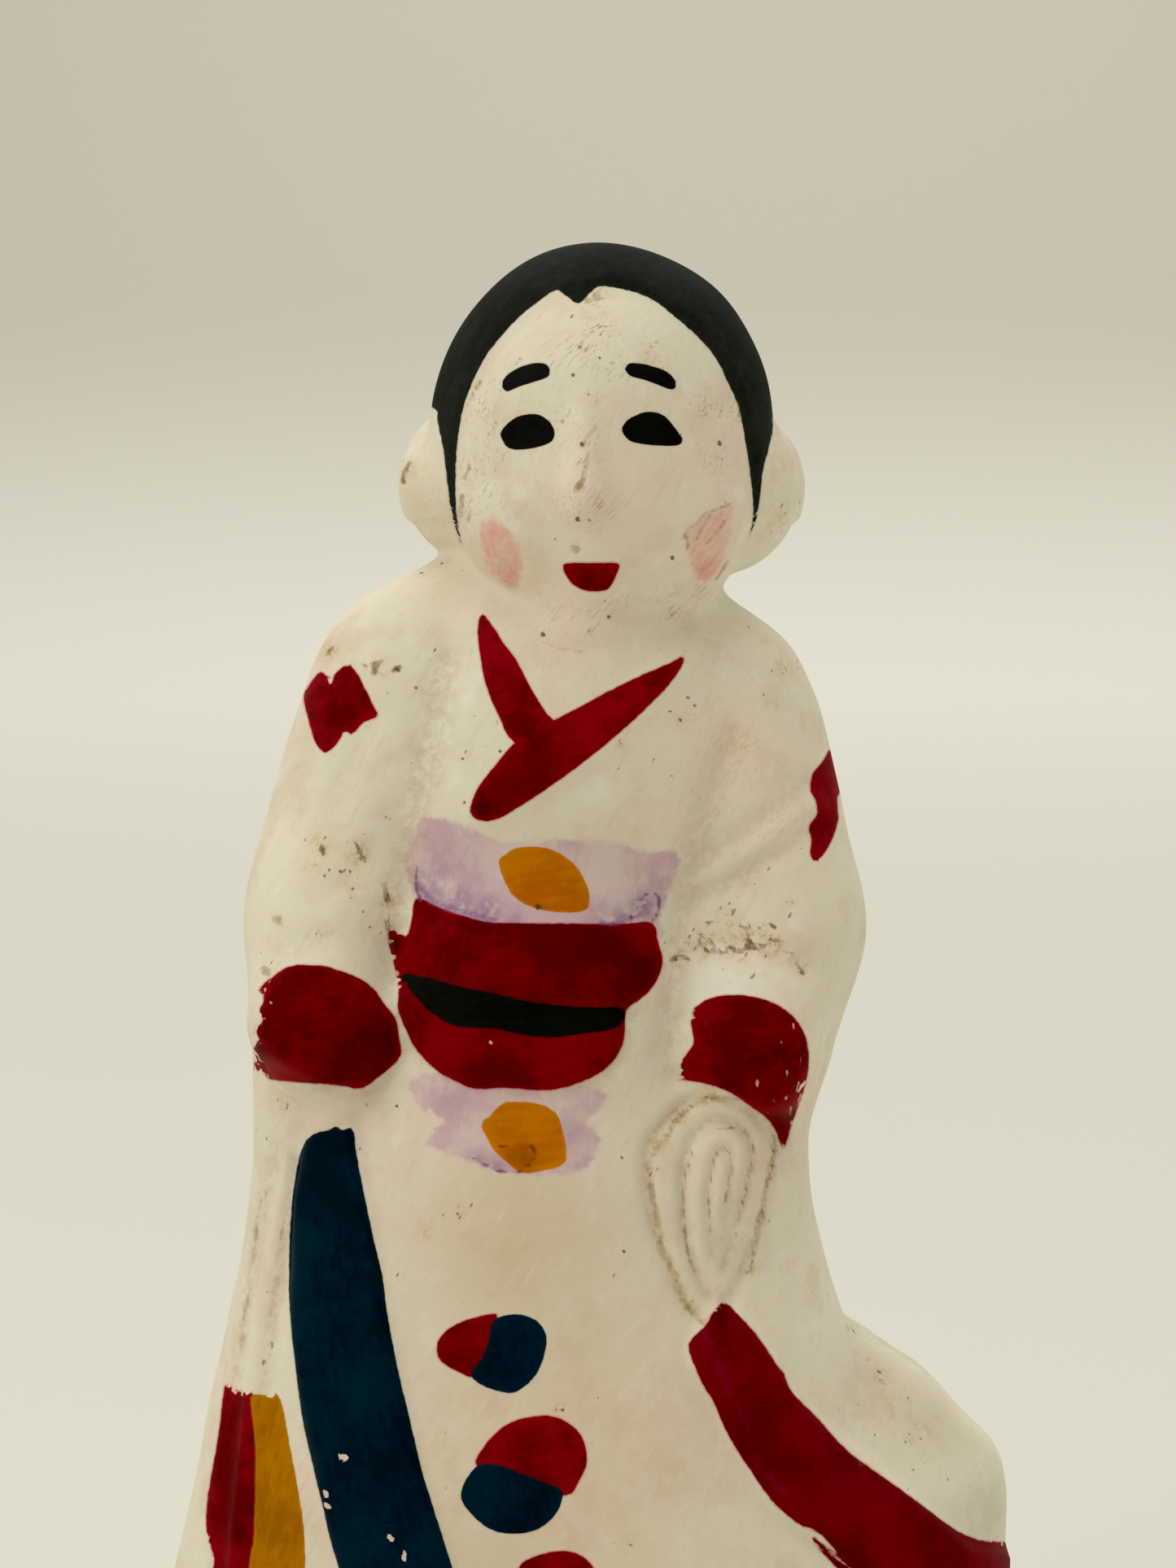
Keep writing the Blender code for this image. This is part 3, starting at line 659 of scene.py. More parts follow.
blueOutlines = {
    "robeBand": (
        (414, 1384), (403, 1389), (385, 1394), (372, 1409), (363, 1445), (357, 1501), (355, 1556),
        (356, 1612), (363, 1680), (372, 1746), (383, 1795), (396, 1849), (405, 1889), (416, 1927),
        (438, 2010), (462, 2110), (484, 2210), (500, 2300), (512, 2410), (660, 2415), (645, 2300),
        (628, 2210), (608, 2110), (582, 2010), (556, 1927), (537, 1867), (519, 1809), (504, 1746),
        (490, 1688), (477, 1621), (470, 1568), (459, 1523), (450, 1479), (443, 1445), (437, 1410),
        (436, 1396), (432, 1386), (420, 1389),
    ),
    "dotOne": (
        (606, 1624), (629, 1615), (650, 1618), (666, 1630), (672, 1650), (662, 1684), (645, 1704),
        (626, 1712), (596, 1704), (578, 1690), (592, 1670), (600, 1648),
    ),
    "dotTwo": (
        (584, 1803), (611, 1800), (646, 1813), (687, 1829), (692, 1838), (682, 1862), (655, 1882),
        (611, 1883), (580, 1862), (566, 1836),
    ),
    "dotThree": (
        (655, 1970), (690, 1982), (722, 1985), (728, 2005), (705, 2040), (665, 2050), (630, 2035),
        (622, 2000),
    ),
    "dotFour": (
        (643, 2104), (680, 2096), (708, 2115), (712, 2150), (690, 2182), (650, 2192), (618, 2172),
        (636, 2135),
    ),
}
yellowOutlines = {
    "leftStripe": (
        (308, 1717), (327, 1716), (340, 1713), (347, 1727), (357, 1782), (366, 1829), (372, 1868),
        (375, 1920), (374, 2040), (366, 2155), (330, 2165), (290, 2155), (300, 2040), (306, 1927),
        (312, 1885), (314, 1778),
    ),
}
lilacOutlines = {
    "upper": (
        (515, 1006), (531, 1004), (558, 1009), (581, 1018), (613, 1033), (663, 1033), (722, 1031),
        (768, 1038), (799, 1046), (823, 1045), (835, 1053), (832, 1072), (822, 1098), (811, 1126),
        (804, 1160), (650, 1165), (520, 1130), (511, 1104), (500, 1079), (496, 1055), (507, 1030),
    ),
    "lower": (
        (513, 1320), (512, 1358), (544, 1375), (534, 1388), (524, 1400), (527, 1411), (581, 1428),
        (607, 1440), (640, 1443), (678, 1444), (701, 1443), (721, 1434), (735, 1414), (736, 1391),
        (723, 1380), (739, 1363), (738, 1340), (620, 1320),
    ),
}
ochreOutlines = {
    "upper": (
        (613, 1061), (618, 1052), (636, 1042), (663, 1041), (687, 1048), (708, 1065), (722, 1090),
        (724, 1110), (716, 1120), (683, 1121), (652, 1114), (632, 1102), (620, 1083),
    ),
    "lower": (
        (591, 1382), (601, 1372), (618, 1356), (635, 1354), (664, 1357), (684, 1369), (691, 1389),
        (696, 1414), (692, 1431), (661, 1440), (638, 1440), (607, 1414), (598, 1397),
    ),
}
cheekOutlines = {
    "left": (
        (594, 640), (606, 635), (618, 644), (633, 661), (642, 685), (640, 706), (636, 725), (626, 726),
        (612, 712), (600, 700), (591, 676), (588, 655),
    ),
    "right": (
        (844, 655), (852, 643), (870, 631), (897, 620), (899, 640), (895, 670), (885, 697), (870, 715),
        (858, 713), (850, 700), (843, 676),
    ),
}
# Round marks on the same frame: (x, y, radius, strength).
roundPlaces = {
    "ragged": (  # where a paint edge breaks into bristle marks
        (312, 1260, 16, 1.0), (312, 1300, 18, 1.0), (324, 1212, 10, 0.6), (856, 1242, 7, 0.8),
        (838, 1316, 8, 0.5), (985, 1340, 12, 0.6), (486, 1160, 16, 0.8),
        (488, 1200, 12, 0.9), (295, 1706, 10, 1.0), (335, 1716, 10, 0.6), (250, 1900, 14, 0.7),
        (512, 1375, 22, 0.7), (735, 1378, 18, 0.6), (885, 1606, 8, 0.4), (502, 1138, 12, 0.8),
        (1230, 1900, 20, 0.5), (436, 900, 12, 0.5), (1000, 1060, 10, 0.4),
    ),
    "chips": (  # where paint has come off
        (421, 1791, 6, 1.0), (400, 1836, 4.5, 1.0), (402, 1850, 5, 1.0), (441, 1858, 3, 0.7),
        (477, 1876, 4, 0.9), (481, 1889, 5.5, 1.0), (496, 1912, 5.5, 1.0), (603, 1281, 3.2, 1.0),
        (930, 1331, 3.6, 0.9), (362, 1264, 2.8, 0.8), (333, 1232, 3, 0.8), (487, 1196, 5, 0.8),
    ),
    "thickPaintAndShade": (  # where paint has pooled and dried darker, and painted shade along the cuffs' lower edges
        (590, 991, 13, 0.8), (655, 902, 22, 0.25), (662, 1115, 4.5, 1.0), (750, 1160, 40, 0.5),
        (790, 1190, 28, 0.5), (484, 1160, 12, 0.6), (420, 880, 18, 0.3), (384, 880, 9, 0.4),
        (352, 1292, 15, 0.35), (377, 1293, 15, 0.45), (402, 1292, 15, 0.35), (476, 1280, 16, 0.5),
        (410, 1260, 70, 0.3), (600, 1175, 110, 0.28), (740, 1170, 70, 0.3), (920, 1290, 60, 0.25),
        (884, 1618, 16, 0.6), (718, 716, 16, 0.3), (290, 1880, 16, 0.3), (700, 1195, 40, 0.25),
    ),
    "violetPool": (
        (520, 1082, 16, 0.6), (535, 1100, 20, 0.7), (565, 1110, 22, 0.8), (598, 1120, 20, 0.8),
        (545, 1070, 30, 0.35), (590, 1090, 30, 0.3), (570, 1030, 40, 0.15),
        (630, 1130, 14, 0.6), (790, 1116, 20, 0.9), (765, 1129, 18, 0.8), (735, 1130, 18, 0.45),
        (806, 1085, 12, 0.3), (585, 1426, 14, 0.6), (610, 1434, 12, 0.7), (722, 1432, 12, 0.4),
        (735, 1400, 8, 0.4), (555, 1345, 20, 0.2), (700, 1400, 20, 0.2),
    ),
    "richPink": ((866, 697, 13, 1.0), (627, 704, 15, 0.8), (602, 655, 12, 0.5), (886, 640, 14, 0.3)),
    "brownStain": ((630, 1420, 13, 0.6), (645, 1424, 11, 0.8), (642, 1410, 8, 0.6), (700, 1092, 10, 0.2)),
    # painted shade: under the nose and chin, along the jaw, and darker down the lower body
    "tanShadePlaces": (
        (735, 790, 70, 0.25), (650, 1050, 70, 0.3), (640, 1520, 150, 0.9), (700, 1750, 220, 0.75),
        (640, 2000, 260, 0.8), (950, 1050, 80, 0.2), (900, 1420, 90, 0.35), (560, 722, 45, 0.6),
        (512, 610, 34, 0.5), (1195, 1760, 34, 0.6), (600, 700, 40, 0.2),
        (728, 624, 24, 0.5), (700, 640, 14, 0.35), (742, 610, 12, 0.3),
    ),
    # painted light: a lighter, warmer tone on the shaded right side of the face, chin, chest and arm
    "warmLitShadePlaces": (
        (760, 620, 90, 0.6), (860, 560, 60, 0.5), (700, 740, 80, 0.5), (900, 920, 80, 0.6),
        (960, 1000, 60, 0.5),
        (820, 900, 60, 0.4), (820, 1010, 50, 0.4),
    ),
    # a cooler, greener train: partly its own tone, partly painted cool light from the right
    "greenTrainToneAndLight": (
        (1160, 1745, 80, 0.85), (1085, 1690, 55, 0.6), (1215, 1840, 60, 0.6), (1130, 1820, 60, 0.4),
    ),
    # painted highlight on the right forearm's top, and a paler train, partly painted light
    "paleLitPlaces": ((890, 1195, 60, 0.7), (1010, 1620, 60, 0.2), (1180, 2000, 150, 0.3)),
    "grime": (
        (476, 1110, 12, 0.7), (478, 1145, 8, 0.7), (440, 1048, 18, 0.9), (395, 1044, 18, 0.8),
        (385, 1063, 20, 0.5), (430, 1085, 24, 0.5), (455, 1139, 14, 0.5), (396, 1149, 14, 0.4),
        (865, 1158, 20, 0.9), (905, 1162, 24, 1.0), (945, 1160, 20, 0.9), (980, 1190, 12, 0.7),
        (835, 1178, 16, 0.8), (893, 1130, 20, 0.7), (920, 1085, 18, 0.4), (963, 822, 14, 0.7),
        (947, 860, 16, 0.5), (914, 911, 18, 0.5), (971, 1110, 8, 0.8), (465, 822, 18, 0.6),
        (510, 845, 12, 0.5), (404, 800, 14, 0.8), (503, 576, 12, 0.8), (518, 574, 8, 0.4),
        (955, 640, 14, 0.5), (800, 1440, 10, 0.9),
        (812, 1404, 12, 0.9), (835, 1372, 14, 0.9), (870, 1350, 12, 0.8), (806, 1500, 9, 0.7),
        (825, 1560, 9, 0.6), (945, 1430, 8, 0.8), (935, 1500, 8, 0.9), (925, 1560, 9, 0.6),
        (848, 1605, 10, 0.5), (1085, 1692, 10, 1.0), (1065, 1668, 10, 0.6), (1100, 1725, 26, 0.5),
        (1135, 1760, 30, 0.45), (1078, 1740, 20, 0.3), (562, 1490, 22, 0.3), (523, 1514, 12, 0.5),
        (620, 1540, 24, 0.3), (690, 1732, 12, 0.6), (343, 1131, 8, 0.6), (328, 1196, 9, 0.6),
        (345, 1355, 16, 0.5), (776, 1900, 20, 0.3), (880, 1830, 18, 0.3), (774, 1880, 14, 0.3),
        (790, 955, 26, 0.3), (764, 915, 9, 0.6), (840, 885, 16, 0.4), (1055, 1800, 10, 0.3),
    ),
    "smudges": (
        (740, 404, 20, 1.0), (715, 425, 24, 0.9), (690, 440, 18, 0.7), (732, 368, 14, 1.0),
        (722, 540, 16, 1.0), (718, 572, 12, 1.0), (713, 596, 12, 1.0), (700, 622, 20, 0.7),
        (742, 622, 22, 0.8), (722, 640, 24, 0.4), (578, 580, 24, 0.8), (570, 625, 18, 0.9),
        (600, 605, 26, 0.5), (610, 560, 30, 0.5), (750, 460, 26, 0.5), (735, 480, 20, 0.5),
        (690, 770, 30, 0.5), (735, 765, 24, 0.6), (760, 740, 22, 0.4), (830, 745, 24, 0.7),
        (862, 725, 18, 0.7), (845, 660, 14, 0.8), (880, 560, 26, 0.5), (902, 505, 18, 0.8),
        (868, 500, 18, 0.7), (800, 440, 40, 0.3), (620, 470, 34, 0.5), (590, 500, 24, 0.6),
        (690, 520, 30, 0.4), (700, 520, 120, 0.2), (950, 700, 30, 0.2), (520, 620, 24, 0.3),
        (770, 700, 30, 0.2), (880, 800, 40, 0.2), (640, 830, 50, 0.2), (900, 930, 60, 0.25),
        (960, 1010, 50, 0.25), (880, 1000, 40, 0.25),
    ),
}
spots = {  # small separate marks: (x, y, radius)
    "darkSpots": (
        (704, 461, 2.6), (737, 440, 2.2), (711, 427, 2.2), (715, 546, 3.0), (884, 545, 2.8),
        (909, 524, 2.4), (585, 525, 2.2), (710, 638, 2.8), (724, 639, 2.0), (826, 686, 2.8),
        (743, 739, 1.6), (748, 758, 2.0), (667, 780, 3.4), (519, 705, 3.2), (542, 692, 2.6),
        (568, 701, 2.0), (883, 487, 1.8), (499, 764, 2.4), (661, 1115, 4.2), (488, 822, 3.2),
        (511, 844, 2.6), (476, 853, 2.2), (584, 881, 2.2), (611, 888, 2.4), (615, 923, 2.2),
        (597, 917, 2.0), (568, 933, 2.2), (570, 987, 2.6), (764, 915, 2.6), (836, 885, 2.4),
        (846, 857, 2.4), (854, 867, 2.2), (823, 874, 2.2), (965, 824, 3.2), (971, 1110, 3.4),
        (825, 953, 2.0), (986, 909, 2.0), (386, 1020, 2.2), (375, 1032, 2.2), (387, 1063, 2.4),
        (398, 1076, 2.2), (418, 1071, 2.2), (430, 1071, 2.2), (433, 1092, 2.2), (430, 1104, 2.2),
        (455, 1139, 2.4), (396, 1149, 2.4), (873, 1129, 2.0), (893, 1133, 2.0), (907, 1104, 2.2),
        (926, 1085, 2.4), (523, 1514, 2.8), (521, 1518, 2.0), (691, 1733, 3.0), (775, 1880, 3.0),
        (776, 1900, 2.4), (562, 1492, 2.2), (487, 1358, 2.4), (450, 1358, 2.2), (764, 1423, 2.2),
        (767, 1538, 2.2), (1114, 1820, 2.2), (1203, 1803, 2.2), (1058, 1800, 2.4), (1147, 1812, 2.2),
    ),
    "oliveSpots": (
        (707, 674, 5.5), (713, 597, 5.0), (733, 364, 5.5), (722, 369, 4.5), (341, 1131, 6.0),
        (327, 1194, 6.5),
    ),
}
# Thin broken lines: half a width, then the points that each passes through.
thinLines = {
    "softLines": (
        (2.4, ((735, 522), (722, 535), (716, 548))), (2.8, ((723, 555), (720, 572), (716, 590))),
        (3.6, ((716, 590), (711, 596), (708, 603))), (2.0, ((593, 465), (583, 480), (578, 492))),
        (2.2, ((577, 572), (571, 588))), (3.0, ((568, 610), (566, 634))), (2.4, ((579, 628), (574, 640))),
        (1.8, ((862, 505), (875, 497))), (1.8, ((888, 500), (884, 512))), (2.0, ((906, 492), (909, 515))),
        (1.8, ((897, 620), (880, 626), (866, 633), (853, 645), (842, 655), (846, 668), (843, 676))),
        (1.5, ((872, 634), (862, 652), (856, 664))), (1.5, ((890, 640), (880, 655), (868, 668))),
        (1.8, ((895, 690), (880, 712))), (1.1, ((668, 790), (688, 797), (722, 801))),
        (2.0, ((742, 398), (722, 412), (712, 426))),
        (1.8, ((756, 444), (742, 458))), (1.6, ((640, 440), (628, 452))), (1.8, ((806, 420), (792, 436))),
        (2.0, ((834, 748), (820, 762))), (1.6, ((700, 505), (690, 520))), (1.8, ((610, 520), (600, 536))),
    ),
    "foldCracks": (
        (1.5, (
            (853, 1565), (846, 1542), (840, 1500), (841, 1455), (849, 1420), (855, 1403),
            (873, 1391), (899, 1386), (916, 1393), (925, 1408), (924, 1428), (912, 1480), (902, 1522),
        )),
        (1.5, (
            (871, 1520), (871, 1480), (875, 1438), (881, 1417), (890, 1412), (898, 1420),
            (898, 1438), (890, 1480),
        )),
        (1.5, ((950, 1402), (950, 1424), (941, 1463), (934, 1502))),
        (1.3, ((1040, 1628), (1059, 1658), (1078, 1682))),
    ),
    "scratches": (
        (1.3, ((967, 1315), (968, 1322))), (1.3, ((961, 1334), (962, 1341))),
        (1.5, ((966, 1346), (965, 1353))),
        (1.2, ((952, 1351), (952, 1358))), (1.6, ((975, 1258), (976, 1265))),
        (1.3, ((982, 1330), (979, 1342))),
        (1.2, ((984, 1344), (981, 1354))), (1.3, ((974, 1376), (972, 1384))),
        (1.2, ((985, 1300), (985, 1310))),
        (1.1, ((945, 1362), (944, 1368))), (1.2, ((960, 1279), (961, 1284))),
        (1.3, ((972, 1362), (970, 1369))),
        (1.5, ((365, 1256), (366, 1264))), (1.2, ((400, 1241), (402, 1244))),
        (1.2, ((407, 1283), (412, 1284))),
        (2.2, ((930, 1328), (931, 1334))),
    ),
    "violetPools": (
        (3.5, ((516, 1088), (530, 1106), (556, 1117), (584, 1124), (608, 1131))),
        (2.6, ((738, 1134), (762, 1133), (784, 1124))),
    ),
    "dirtLines": (
        (2.8, ((504, 568), (497, 580), (495, 593))), (3.2, ((461, 816), (458, 829))),
        (2.0, ((468, 810), (464, 822))),
        (3.0, ((485, 823), (491, 821))), (2.4, ((412, 794), (402, 806))), (1.6, ((446, 812), (449, 818))),
        (2.0, ((965, 816), (962, 828))), (2.4, ((435, 1036), (443, 1048), (447, 1059))),
        (2.6, ((394, 1040), (398, 1048))), (2.6, ((472, 1086), (474, 1098), (476, 1108))),
        (2.4, ((476, 1126), (477, 1145), (482, 1168))), (2.4, ((823, 1180), (836, 1176), (846, 1178))),
        (2.6, ((862, 1149), (873, 1157), (885, 1170), (900, 1167), (916, 1168), (936, 1161))),
        (2.2, ((866, 1166), (881, 1172))), (2.8, ((897, 1164), (909, 1170), (918, 1160), (924, 1147))),
        (2.2, ((936, 1164), (947, 1157), (959, 1155))), (2.4, ((978, 1184), (987, 1196))),
        (2.0, ((905, 1135), (915, 1140), (922, 1136))), (2.4, ((1078, 1682), (1086, 1694), (1097, 1705))),
        (2.0, ((840, 1160), (852, 1156))), (2.0, ((930, 1140), (944, 1136), (954, 1142))),
        (1.8, ((868, 1136), (880, 1130))), (2.0, ((962, 1168), (974, 1172))),
    ),
    "rimDirt": (
        (3.4, (
            (903, 1353), (880, 1350), (864, 1353), (845, 1362), (825, 1385), (808, 1407), (798, 1430),
            (801, 1463), (808, 1506), (814, 1537), (829, 1567), (842, 1602), (862, 1624),
        )),
        (2.8, ((950, 1398), (951, 1424), (941, 1463), (934, 1502), (928, 1524), (921, 1563))),
        (1.6, ((327, 1458), (317, 1501), (310, 1552), (302, 1603), (296, 1660))),
        (1.3, ((349, 1501), (342, 1560), (337, 1603), (328, 1660))),
    ),
    "violetLines": (
        (1.6, ((514, 1062), (511, 1087), (517, 1108))),
        (1.8, ((772, 1135), (780, 1118), (788, 1106), (799, 1097), (808, 1101), (809, 1118), (802, 1133))),
        (2.0, ((581, 1423), (601, 1434), (621, 1441), (640, 1442))),
    ),
    # lighter crimson along the train band's raised top: lighter brush strokes and a painted highlight
    "crimsonStrokesAndHighlights": (
        (5.0, ((866, 1640), (880, 1672), (898, 1715))), (4.0, ((905, 1725), (915, 1745), (922, 1760))),
        (5.0, ((925, 1790), (950, 1820), (965, 1835))),
    ),
    "brownLines": ((2.2, ((636, 1441), (650, 1431), (658, 1417), (650, 1407), (630, 1405), (612, 1411))),),
}
photoMm = 0.0955  # mm that one pixel covers on the doll's front
outlineSteps = 4
farOutside = -4.0  # mm: stands for outside every small mark
markFade = 8.0  # mm behind the middle over which the marks end


def inside(flat, path):
    # whether each point is inside a closed path, by counting crossings
    odd = np.zeros(len(flat), bool)
    for (x0, y0), (x1, y1) in zip(path, path[1:]):
        crosses = (y0 > flat[:, 1]) != (y1 > flat[:, 1])
        slope = (x1 - x0) / (y1 - y0 if y1 != y0 else 1e-9)
        odd ^= crosses & (flat[:, 0] < x0 + (flat[:, 1] - y0) * slope)
    return odd


def paintDepth(flat, outlines, margin=40.0):  # margin in pixels
    # how far inside the nearest outline each point lies, in mm; below zero outside
    depth = np.full(len(flat), -margin)
    for outline in outlines.values():
        path = smoothPath(outline, closed=True, steps=outlineSteps)
        low, high = path.min(axis=0) - margin, path.max(axis=0) + margin
        near = np.flatnonzero(((flat > low) & (flat < high)).all(axis=1))
        away = distanceToPath(flat[near], path)
        depth[near] = np.maximum(depth[near], np.where(inside(flat[near], path), away, -away))
    return depth * photoMm


def roundMarks(flat, places):
    total = np.zeros(len(flat))
    for x, y, radius, strength in places:
        away = np.hypot(flat[:, 0] - x, flat[:, 1] - y) / radius
        total = np.maximum(total, strength * np.exp(-away * away))
    return total


def spotDepth(flat, places):
    depth = np.full(len(flat), farOutside)
    for x, y, radius in places:
        depth = np.maximum(depth, (radius - np.hypot(flat[:, 0] - x, flat[:, 1] - y)) * photoMm)
    return depth


def lineDepth(flat, lines, margin=24.0):  # margin in pixels
    depth = np.full(len(flat), -margin)
    for halfWidth, points in lines:
        path = smoothPath(points, steps=outlineSteps)
        low, high = path.min(axis=0) - margin, path.max(axis=0) + margin
        near = np.flatnonzero(((flat > low) & (flat < high)).all(axis=1))
        depth[near] = np.maximum(depth[near], halfWidth - distanceToPath(flat[near], path))
    return depth * photoMm


backHair = {  # mm: the black cap's rear edge; ripples are radians for each mm
    "edge": 8.0,
    "lowest": 184.0,
    "slope": 0.5,
    "wave": 1.3,
    "ripples": (0.5, 0.19),
}
paintEnds = {  # mm: where the brush left the side of the doll
    "edge": 4.5,
    "wave": 1.1,
    "ripples": (0.55, 1.7),
}


def backHairDepth(points):
    # behind the silhouette the black runs over the crown and stops a little way down
    short, long = backHair["ripples"]
    wave = backHair["wave"] * np.sin(points[:, 0] * short) * np.cos(points[:, 0] * long + 1.0)
    rear = backHair["edge"] + wave - points[:, 1]
    behind = np.maximum(points[:, 1] - skull["centre"][1], 0)
    return np.minimum(rear, points[:, 2] - backHair["lowest"] - backHair["slope"] * behind)


def grooveDepth(points):
    # how deep in a carved groove each point lies, in mm
    depth = np.zeros(len(points))
    for path, width, deep in carvedLines.values():
        if deep > 0:
            away = distanceToPath(points[:, [0, 2]], smoothPath(path)) / width
            depth = np.maximum(depth, deep * np.exp(-away * away))
    return depth


def storePaint(data, points):
    flat = photoPixels(points)
    layers = {
        "inkPaint": inkOutlines,
        "redPaint": redOutlines,
        "winePaint": wineOutlines,
        "bluePaint": blueOutlines,
        "yellowPaint": yellowOutlines,
        "lilacPaint": lilacOutlines,
        "ochrePaint": ochreOutlines,
        "cheekPaint": cheekOutlines,
    }
    long, short = paintEnds["ripples"]
    ends = np.sin(points[:, 2] * long) + 0.6 * np.sin(points[:, 2] * short + 1.0)
    rear = paintEnds["edge"] + paintEnds["wave"] * ends - points[:, 1]
    fields = {name: np.minimum(paintDepth(flat, outlines), rear) for name, outlines in layers.items()}
    cap = paintDepth(flat, hairOutlines)
    fields["hairPaint"] = np.where(points[:, 1] > skull["centre"][1], backHairDepth(points), cap)
    front = smoothStep(0.5 - points[:, 1] / markFade)
    for name, places in roundPlaces.items():
        fields[name] = roundMarks(flat, places) * front
    for name, places in spots.items():
        fields[name] = np.where(front > 0.5, spotDepth(flat, places), farOutside)
    for name, lines in thinLines.items():
        fields[name] = np.where(front > 0.5, lineDepth(flat, lines), farOutside)
    fields["groove"] = grooveDepth(points - (0.0, 0.0, slab["height"])) * front
    for name, values in fields.items():
        layer = data.attributes.new(name, "FLOAT", "POINT")
        layer.data.foreach_set("value", values.astype(np.float32))


storePaint(dollMesh, dollPoints)
print("paint outlines laid on")


# Shader helpers.
def addNode(tree, kind, inputs=None, **settings):
    node = tree.nodes.new(kind)
    for name, value in settings.items():
        setattr(node, name, value)
    for name, value in (inputs or {}).items():
        socket = node.inputs[name]
        if isinstance(value, bpy.types.NodeSocket):
            tree.links.new(value, socket)
        else:
            socket.default_value = value
    return node


def calculate(tree, operation, a, b=0.0, c=0.0, clamp=False):
    node = addNode(tree, "ShaderNodeMath", {0: a, 1: b, 2: c}, operation=operation, use_clamp=clamp)
    return node.outputs[0]


def times(tree, *values):
    result = values[0]
    for value in values[1:]:
        result = calculate(tree, "MULTIPLY", result, value)
    return result


def plus(tree, *values):
    result = values[0]
    for value in values[1:]:
        result = calculate(tree, "ADD", result, value)
    return result


def without(tree, share):
    return calculate(tree, "SUBTRACT", 1.0, share)


def stretchBetween(tree, value, low, high, toLow=0.0, toHigh=1.0):
    inputs = {"Value": value, "From Min": low, "From Max": high, "To Min": toLow, "To Max": toHigh}
    return addNode(tree, "ShaderNodeMapRange", inputs, interpolation_type="SMOOTHSTEP").outputs[0]


def mixColours(tree, factor, a, b, blend="MIX"):
    node = addNode(tree, "ShaderNodeMix", {0: factor, 6: a, 7: b}, data_type="RGBA", blend_type=blend)
    return node.outputs[2]


def noiseAt(tree, coordinates, size, detail=3.0, roughness=0.55):  # size in mm
    inputs = {"Vector": coordinates, "Scale": 1 / size, "Detail": detail, "Roughness": roughness}
    return addNode(tree, "ShaderNodeTexNoise", inputs).outputs[0]


def alongStrokes(tree, coordinates, turn, lengths):
    # coordinates turned to the way of a brush, and shrunk by the lengths (mm) along and across its strokes
    inputs = {"Vector": coordinates, "Rotation": turn, "Scale": lengths}
    return addNode(tree, "ShaderNodeMapping", inputs, vector_type="TEXTURE").outputs[0]


def strokeTurn(angle):  # degrees that a stroke rises to the right
    return (0.0, -math.radians(angle), 0.0)


def shifted(tree, coordinates, offset):
    return addNode(tree, "ShaderNodeMapping", {"Vector": coordinates, "Location": offset}).outputs[0]


def bent(tree, coordinates, size, detail, strength):  # takes the straightness out of a pattern
    warp = times(tree, noiseAt(tree, coordinates, size, detail), strength)
    return addNode(tree, "ShaderNodeVectorMath", {0: coordinates, 1: warp}, operation="ADD").outputs[0]


def attribute(tree, name):
    return addNode(tree, "ShaderNodeAttribute", attribute_name=name).outputs["Fac"]


def colour(red, green, blue):  # an sRGB colour, 0 to 255, as the linear one that a shader takes
    def linear(share):
        return share / 12.92 if share <= 0.04045 else ((share + 0.055) / 1.055) ** 2.4
    return (linear(red / 255), linear(green / 255), linear(blue / 255), 1.0)


def newGroup(name, inputs, outputs):
    group = bpy.data.node_groups.new(name, "ShaderNodeTree")
    for label, kind, value in inputs:
        socket = group.interface.new_socket(label, in_out="INPUT", socket_type=kind)
        if value is not None:
            socket.default_value = value
    for label in outputs:
        group.interface.new_socket(label, in_out="OUTPUT", socket_type="NodeSocketFloat")
    return group, group.nodes.new("NodeGroupInput").outputs, group.nodes.new("NodeGroupOutput").inputs


# Shared effects. A pair of numbers is the noise, or the depth in mm, that an effect starts and ends at.
brushForm = {
    "torn": (0.5, 0.66),  # bristle noise that breaks up a ragged edge
    "tornDepth": -1.3,  # mm
    "chipWobble": 0.9,
    "chipEdge": (0.42, 0.5),
    "rim": (0.0, 0.55),  # mm inside the edge
    "bleed": (-0.26, -0.02),  # mm
    "strokes": (7.0, 0.8, 0.8),  # mm along and across
    "mottle": 0.22,
    "thickness": (0.36, 0.66),
}
speckForm = {"warpSize": 0.35, "warp": 0.5, "leastSize": 0.35, "edge": 0.08}
crackForm = {"warpSize": 0.5, "warp": 0.9, "breakSize": 0.8, "broken": (0.46, 0.58)}


